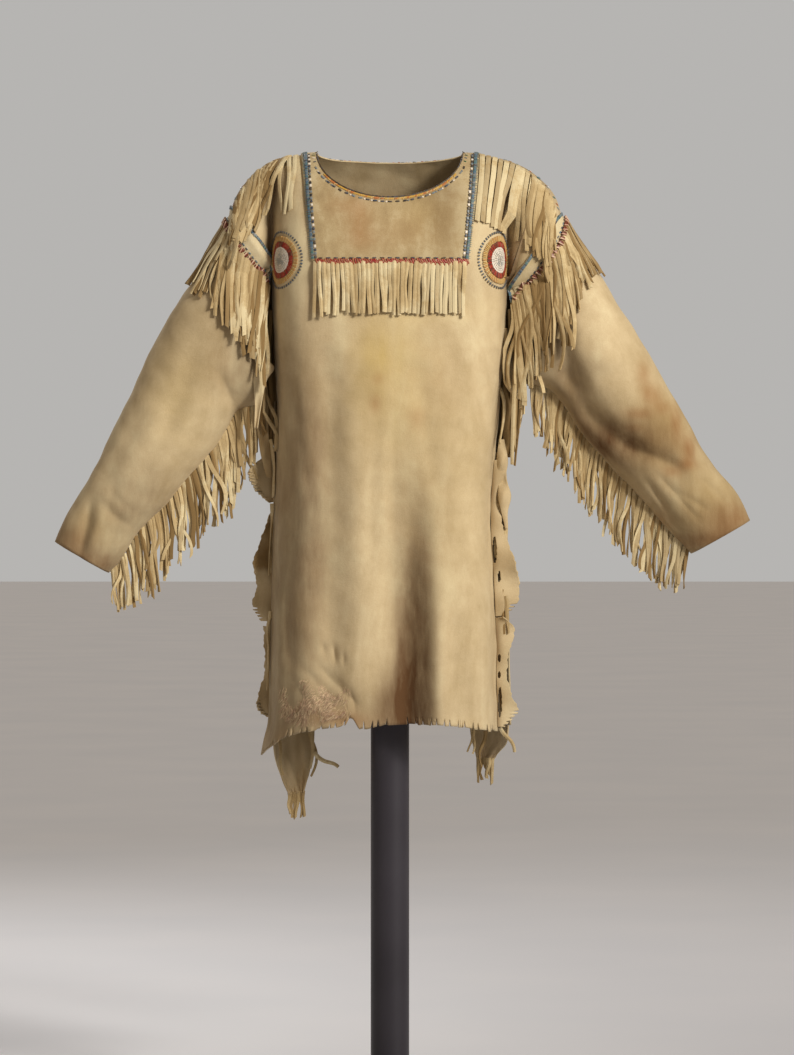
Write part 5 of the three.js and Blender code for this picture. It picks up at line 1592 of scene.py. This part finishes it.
# Loose strings beside the leg skins.
STRINGS = table(
    "x y z long wide shade way drift",
    (-126, 60, 612, 70, 5.6, 0.2, (0.12, 0, -1), 0.0),
    (-120, 58, 568, 46, 6.0, 0.0, (0.75, -0.2, -0.6), 0.9),
    (-128, 62, 618, 92, 4.6, 0.5, (-0.1, 0, -1), 0.04),
    (-176, 20, 604, 70, 4.4, 0.6, (0.2, 0, -1), 0.1),
    (134, 40, 612, 44, 2.6, 0.2, (-0.5, 0, -1), -0.3),
    (132, 42, 606, 40, 2.4, 0.0, (-0.2, 0, -1), -0.1),
    (150, 40, 604, 60, 5.0, 0.8, (0.1, 0, -1), 0.0),
    (172, 10, 610, 46, 5.0, 0.3, (0.5, 0, -1), 0.5))
for row in STRINGS:
    spots, outs = hang(Vector((row["x"], row["y"], row["z"])), Vector(row["way"]).normalized(),
                       Vector((0, -1, 0)), row["long"], 1.8,
                       drift=(row["drift"], 0, 0), wave=cutting.gauss(0, 0.3))
    cut_strip(strips, spots, outs, row["wide"], row["shade"],
              curl=0.8, taper=0.3, twist=cutting.gauss(0, 1.0))
fringe_piece("leg_strips", strips, "fringe_hide")

# ---- cut hem and hair -------------------------------------------------------------------------------------
# The front hem is nicked into a short comb with a knife, and its teeth curl a little, each its own way. At
# the left the animal's hair was never scraped away: thin pinkish-brown tufts lie down and to the left.
NICKS = table("first last deep", (-44, -4, 15), (24, 163, 14), (-182, -118, 10), (-114, -58, 6))
COMB_TOP_Z = 660                # all of the comb lies below this
TOOTH_WIDEST = 16
HEM_HALF = {-1: 198, 1: 166}


def comb_reach(x, z):
    """How far a place lies down the comb, from 0 at the roots of its teeth to 1 at their tips."""
    deep = next((row["deep"] for row in NICKS if row["first"] < x < row["last"]), 0)
    hem_z = float(sample(FRONT_HEM, "u", "z", x / HEM_HALF[-1 if x < 0 else 1]))
    return 1 - (z - hem_z) / deep if deep else 0


def rounded(spot):
    return tuple(round(c, 2) for c in spot)


comb = bmesh.new()
comb.from_mesh(front_hide.data)
column_wide = front_hide.dimensions.x / MM / FRONT_CELLS[0]
slits, heads, feet = [], set(), set()
for edge in comb.edges:
    low, high = sorted((vert.co / MM for vert in edge.verts), key=lambda spot: spot.z)
    if high.z > COMB_TOP_Z or high.z - low.z < abs(high.x - low.x) or edge.is_boundary:
        continue
    column = round((low.x + high.x) / 2 / column_wide)
    if column % 3 == 1 + (column // 3) % 2 and comb_reach(low.x, low.z) > 0.2:
        slits.append(edge)
        heads.add(rounded(high))
        feet.add(rounded(low))
heads -= feet
bmesh.ops.split_edges(comb, edges=slits)

# Each tooth is what can be reached from a point of its edge without passing its root or a slit's head.
teeth_random = random.Random(8)
seen = set()
for start in comb.verts:
    if start in seen or not start.is_boundary or start.co.z / MM > COMB_TOP_Z:
        continue
    tooth, heap = [], [start]
    while heap:
        vert = heap.pop()
        spot = vert.co / MM
        if vert in seen or comb_reach(spot.x, spot.z) <= 0.12 or rounded(spot) in heads:
            continue
        seen.add(vert)
        tooth.append(vert)
        heap += [edge.other_vert(vert) for edge in vert.link_edges]
    spots = [vert.co.x for vert in tooth]
    if not tooth or max(spots) - min(spots) > TOOTH_WIDEST * MM:
        continue
    curl, lean, middle = teeth_random.gauss(0, 2.4), teeth_random.gauss(0, 0.7), (max(spots) + min(spots)) / 2
    short = teeth_random.uniform(0, 2.4)
    for vert in tooth:
        far = min(1, max(0, comb_reach(vert.co.x / MM, vert.co.z / MM)))
        narrow = (middle - vert.co.x) / MM * 0.3 * far
        vert.co += Vector((narrow + lean * far, curl * far * far, short * far)) * MM
comb.to_mesh(front_hide.data)
comb.free()

hair_growth = random.Random(31)
hair, shader = new_material("deer_hair")
dyed = add_node(hair, "ShaderNodeAttribute", {"attribute_name": "dye"}, {})
connect(hair, shader, {"Base Color": dyed.outputs["Color"], "Roughness": 0.6, "Specular IOR Level": 0.4})
HAIR_DYES = [0xB4957C, 0xC6AC8A, 0xD2BE9A, 0x9E7C64, 0xC8B28E, 0xBC9E82]
spots = []
for _ in range(7000):
    x, z = hair_growth.uniform(-172, -50), hair_growth.uniform(608, 690)
    inside = 1 - ((x + 110) / 60) ** 2 - ((z - 646) / 40) ** 2
    patchy = math.sin(x / 9 + z / 13) + math.sin(x / 17 - z / 7 + 1) + math.sin(x / 5 + z / 31)
    if inside + 0.25 * patchy > hair_growth.uniform(0.1, 1.1) and z > 612 + 0.24 * (x + 160):
        spots.append((x, z))
u, v = front.at_place(*np.array(spots).T)
tufts = []
for (x, z), spot, out in zip(spots, front(u, v), outward(front, u, v)):
    spot, out = Vector(spot), Vector(out)
    bend = 0.7 * math.sin(x / 15 + z / 22) + 0.4 * math.sin(x / 7 - z / 11) + hair_growth.gauss(0, 0.2)
    way = (Vector((-0.45 + bend, 0, -0.9)) + out * hair_growth.uniform(0.05, 0.3)).normalized()
    long = hair_growth.uniform(5, 11)
    side = out.cross(way).normalized()
    tufts.append(((way * long, side * 0.5, way.cross(side) * 0.3),
                  spot + out * (HIDE + 0.2) + way * (long / 2), linear(hair_growth.choice(HAIR_DYES))))
bm = bmesh.new()
tips = [vert for vert in bmesh.ops.create_cube(bm, size=1)["verts"] if vert.co.x > 0]
bmesh.ops.scale(bm, vec=(1, 0.2, 0.2), verts=tips)
hair_patch = dyed_blocks("hair_patch", bm, tufts, hair)
finish_piece(hair_patch, "fringe_hide")

# ---- sheets and size --------------------------------------------------------------------------------------
# The flat size that each skin was cut to, in metres: its width, its length, and the area left inside them
# once its outline was cut. What each hangs from or lies on is named, and what is sewn to it is listed with
# it.
SHEETS = table(
    "piece wide long area held on with",
    (front_hide, 0.56, 0.93, 0.405, "hung", "stand_form", [hair_patch]),
    (back_hide, 0.56, 0.93, 0.414, "hung", "stand_form", []),
    (bib, 0.30, 0.18, 0.036, "laid", "front_panel", [heading, neck_work, bib_fringe]),
    (arm_bands["left"], 0.035, 0.32, 0.0093, "laid", "front_panel", [arm_fringes["left"]]),
    (arm_bands["right"], 0.045, 0.33, 0.0082, "laid", "front_panel", [arm_fringes["right"]]),
    (flaps["left_leaf"], 0.042, 0.08, 0.0023, "hung", "back_panel", []),
    (flaps["left_upper"], 0.035, 0.175, 0.0042, "hung", "back_panel", []),
    (flaps["left_lower"], 0.025, 0.143, 0.0022, "hung", "back_panel", []),
    (flaps["right_upper"], 0.027, 0.073, 0.0015, "hung", "back_panel", []),
    (flaps["right_middle"], 0.045, 0.245, 0.0062, "hung", "front_panel", []),
    (flaps["right_lower"], 0.037, 0.172, 0.0038, "hung", "front_panel", []),
    (leg_tabs["left"], 0.11, 0.116, 0.0092, "hung", "back_panel", []),
    (leg_tabs["right"], 0.10, 0.062, 0.0047, "hung", "back_panel", []),
    (sleeve_hides["left"], 0.50, 0.65, 0.203, "stretched", "stand_form", [sleeve_fringes["left"]]),
    (sleeve_hides["right"], 0.50, 0.65, 0.203, "stretched", "stand_form", [sleeve_fringes["right"]]),
    (leaves["left_underarm_leaf"], 0.038, 0.13, 0.0023, "hung", "back_panel", []),
    (leaves["left_inner_leaf"], 0.03, 0.28, 0.0065, "hung", "back_panel", []),
    (leaves["left_dark_leaf"], 0.022, 0.15, 0.0021, "hung", "back_panel", []),
    (leaves["right_underarm_leaf"], 0.028, 0.112, 0.0017, "hung", "back_panel", []),
    (leaves["right_inner_leaf"], 0.04, 0.24, 0.0068, "hung", "back_panel", []),
    (leaves["right_dark_leaf"], 0.032, 0.12, 0.0027, "hung", "back_panel", []),
    (leaves["right_pleat"], 0.024, 0.142, 0.0021, "hung", "back_panel", []))
for row in SHEETS:
    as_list(row["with"])
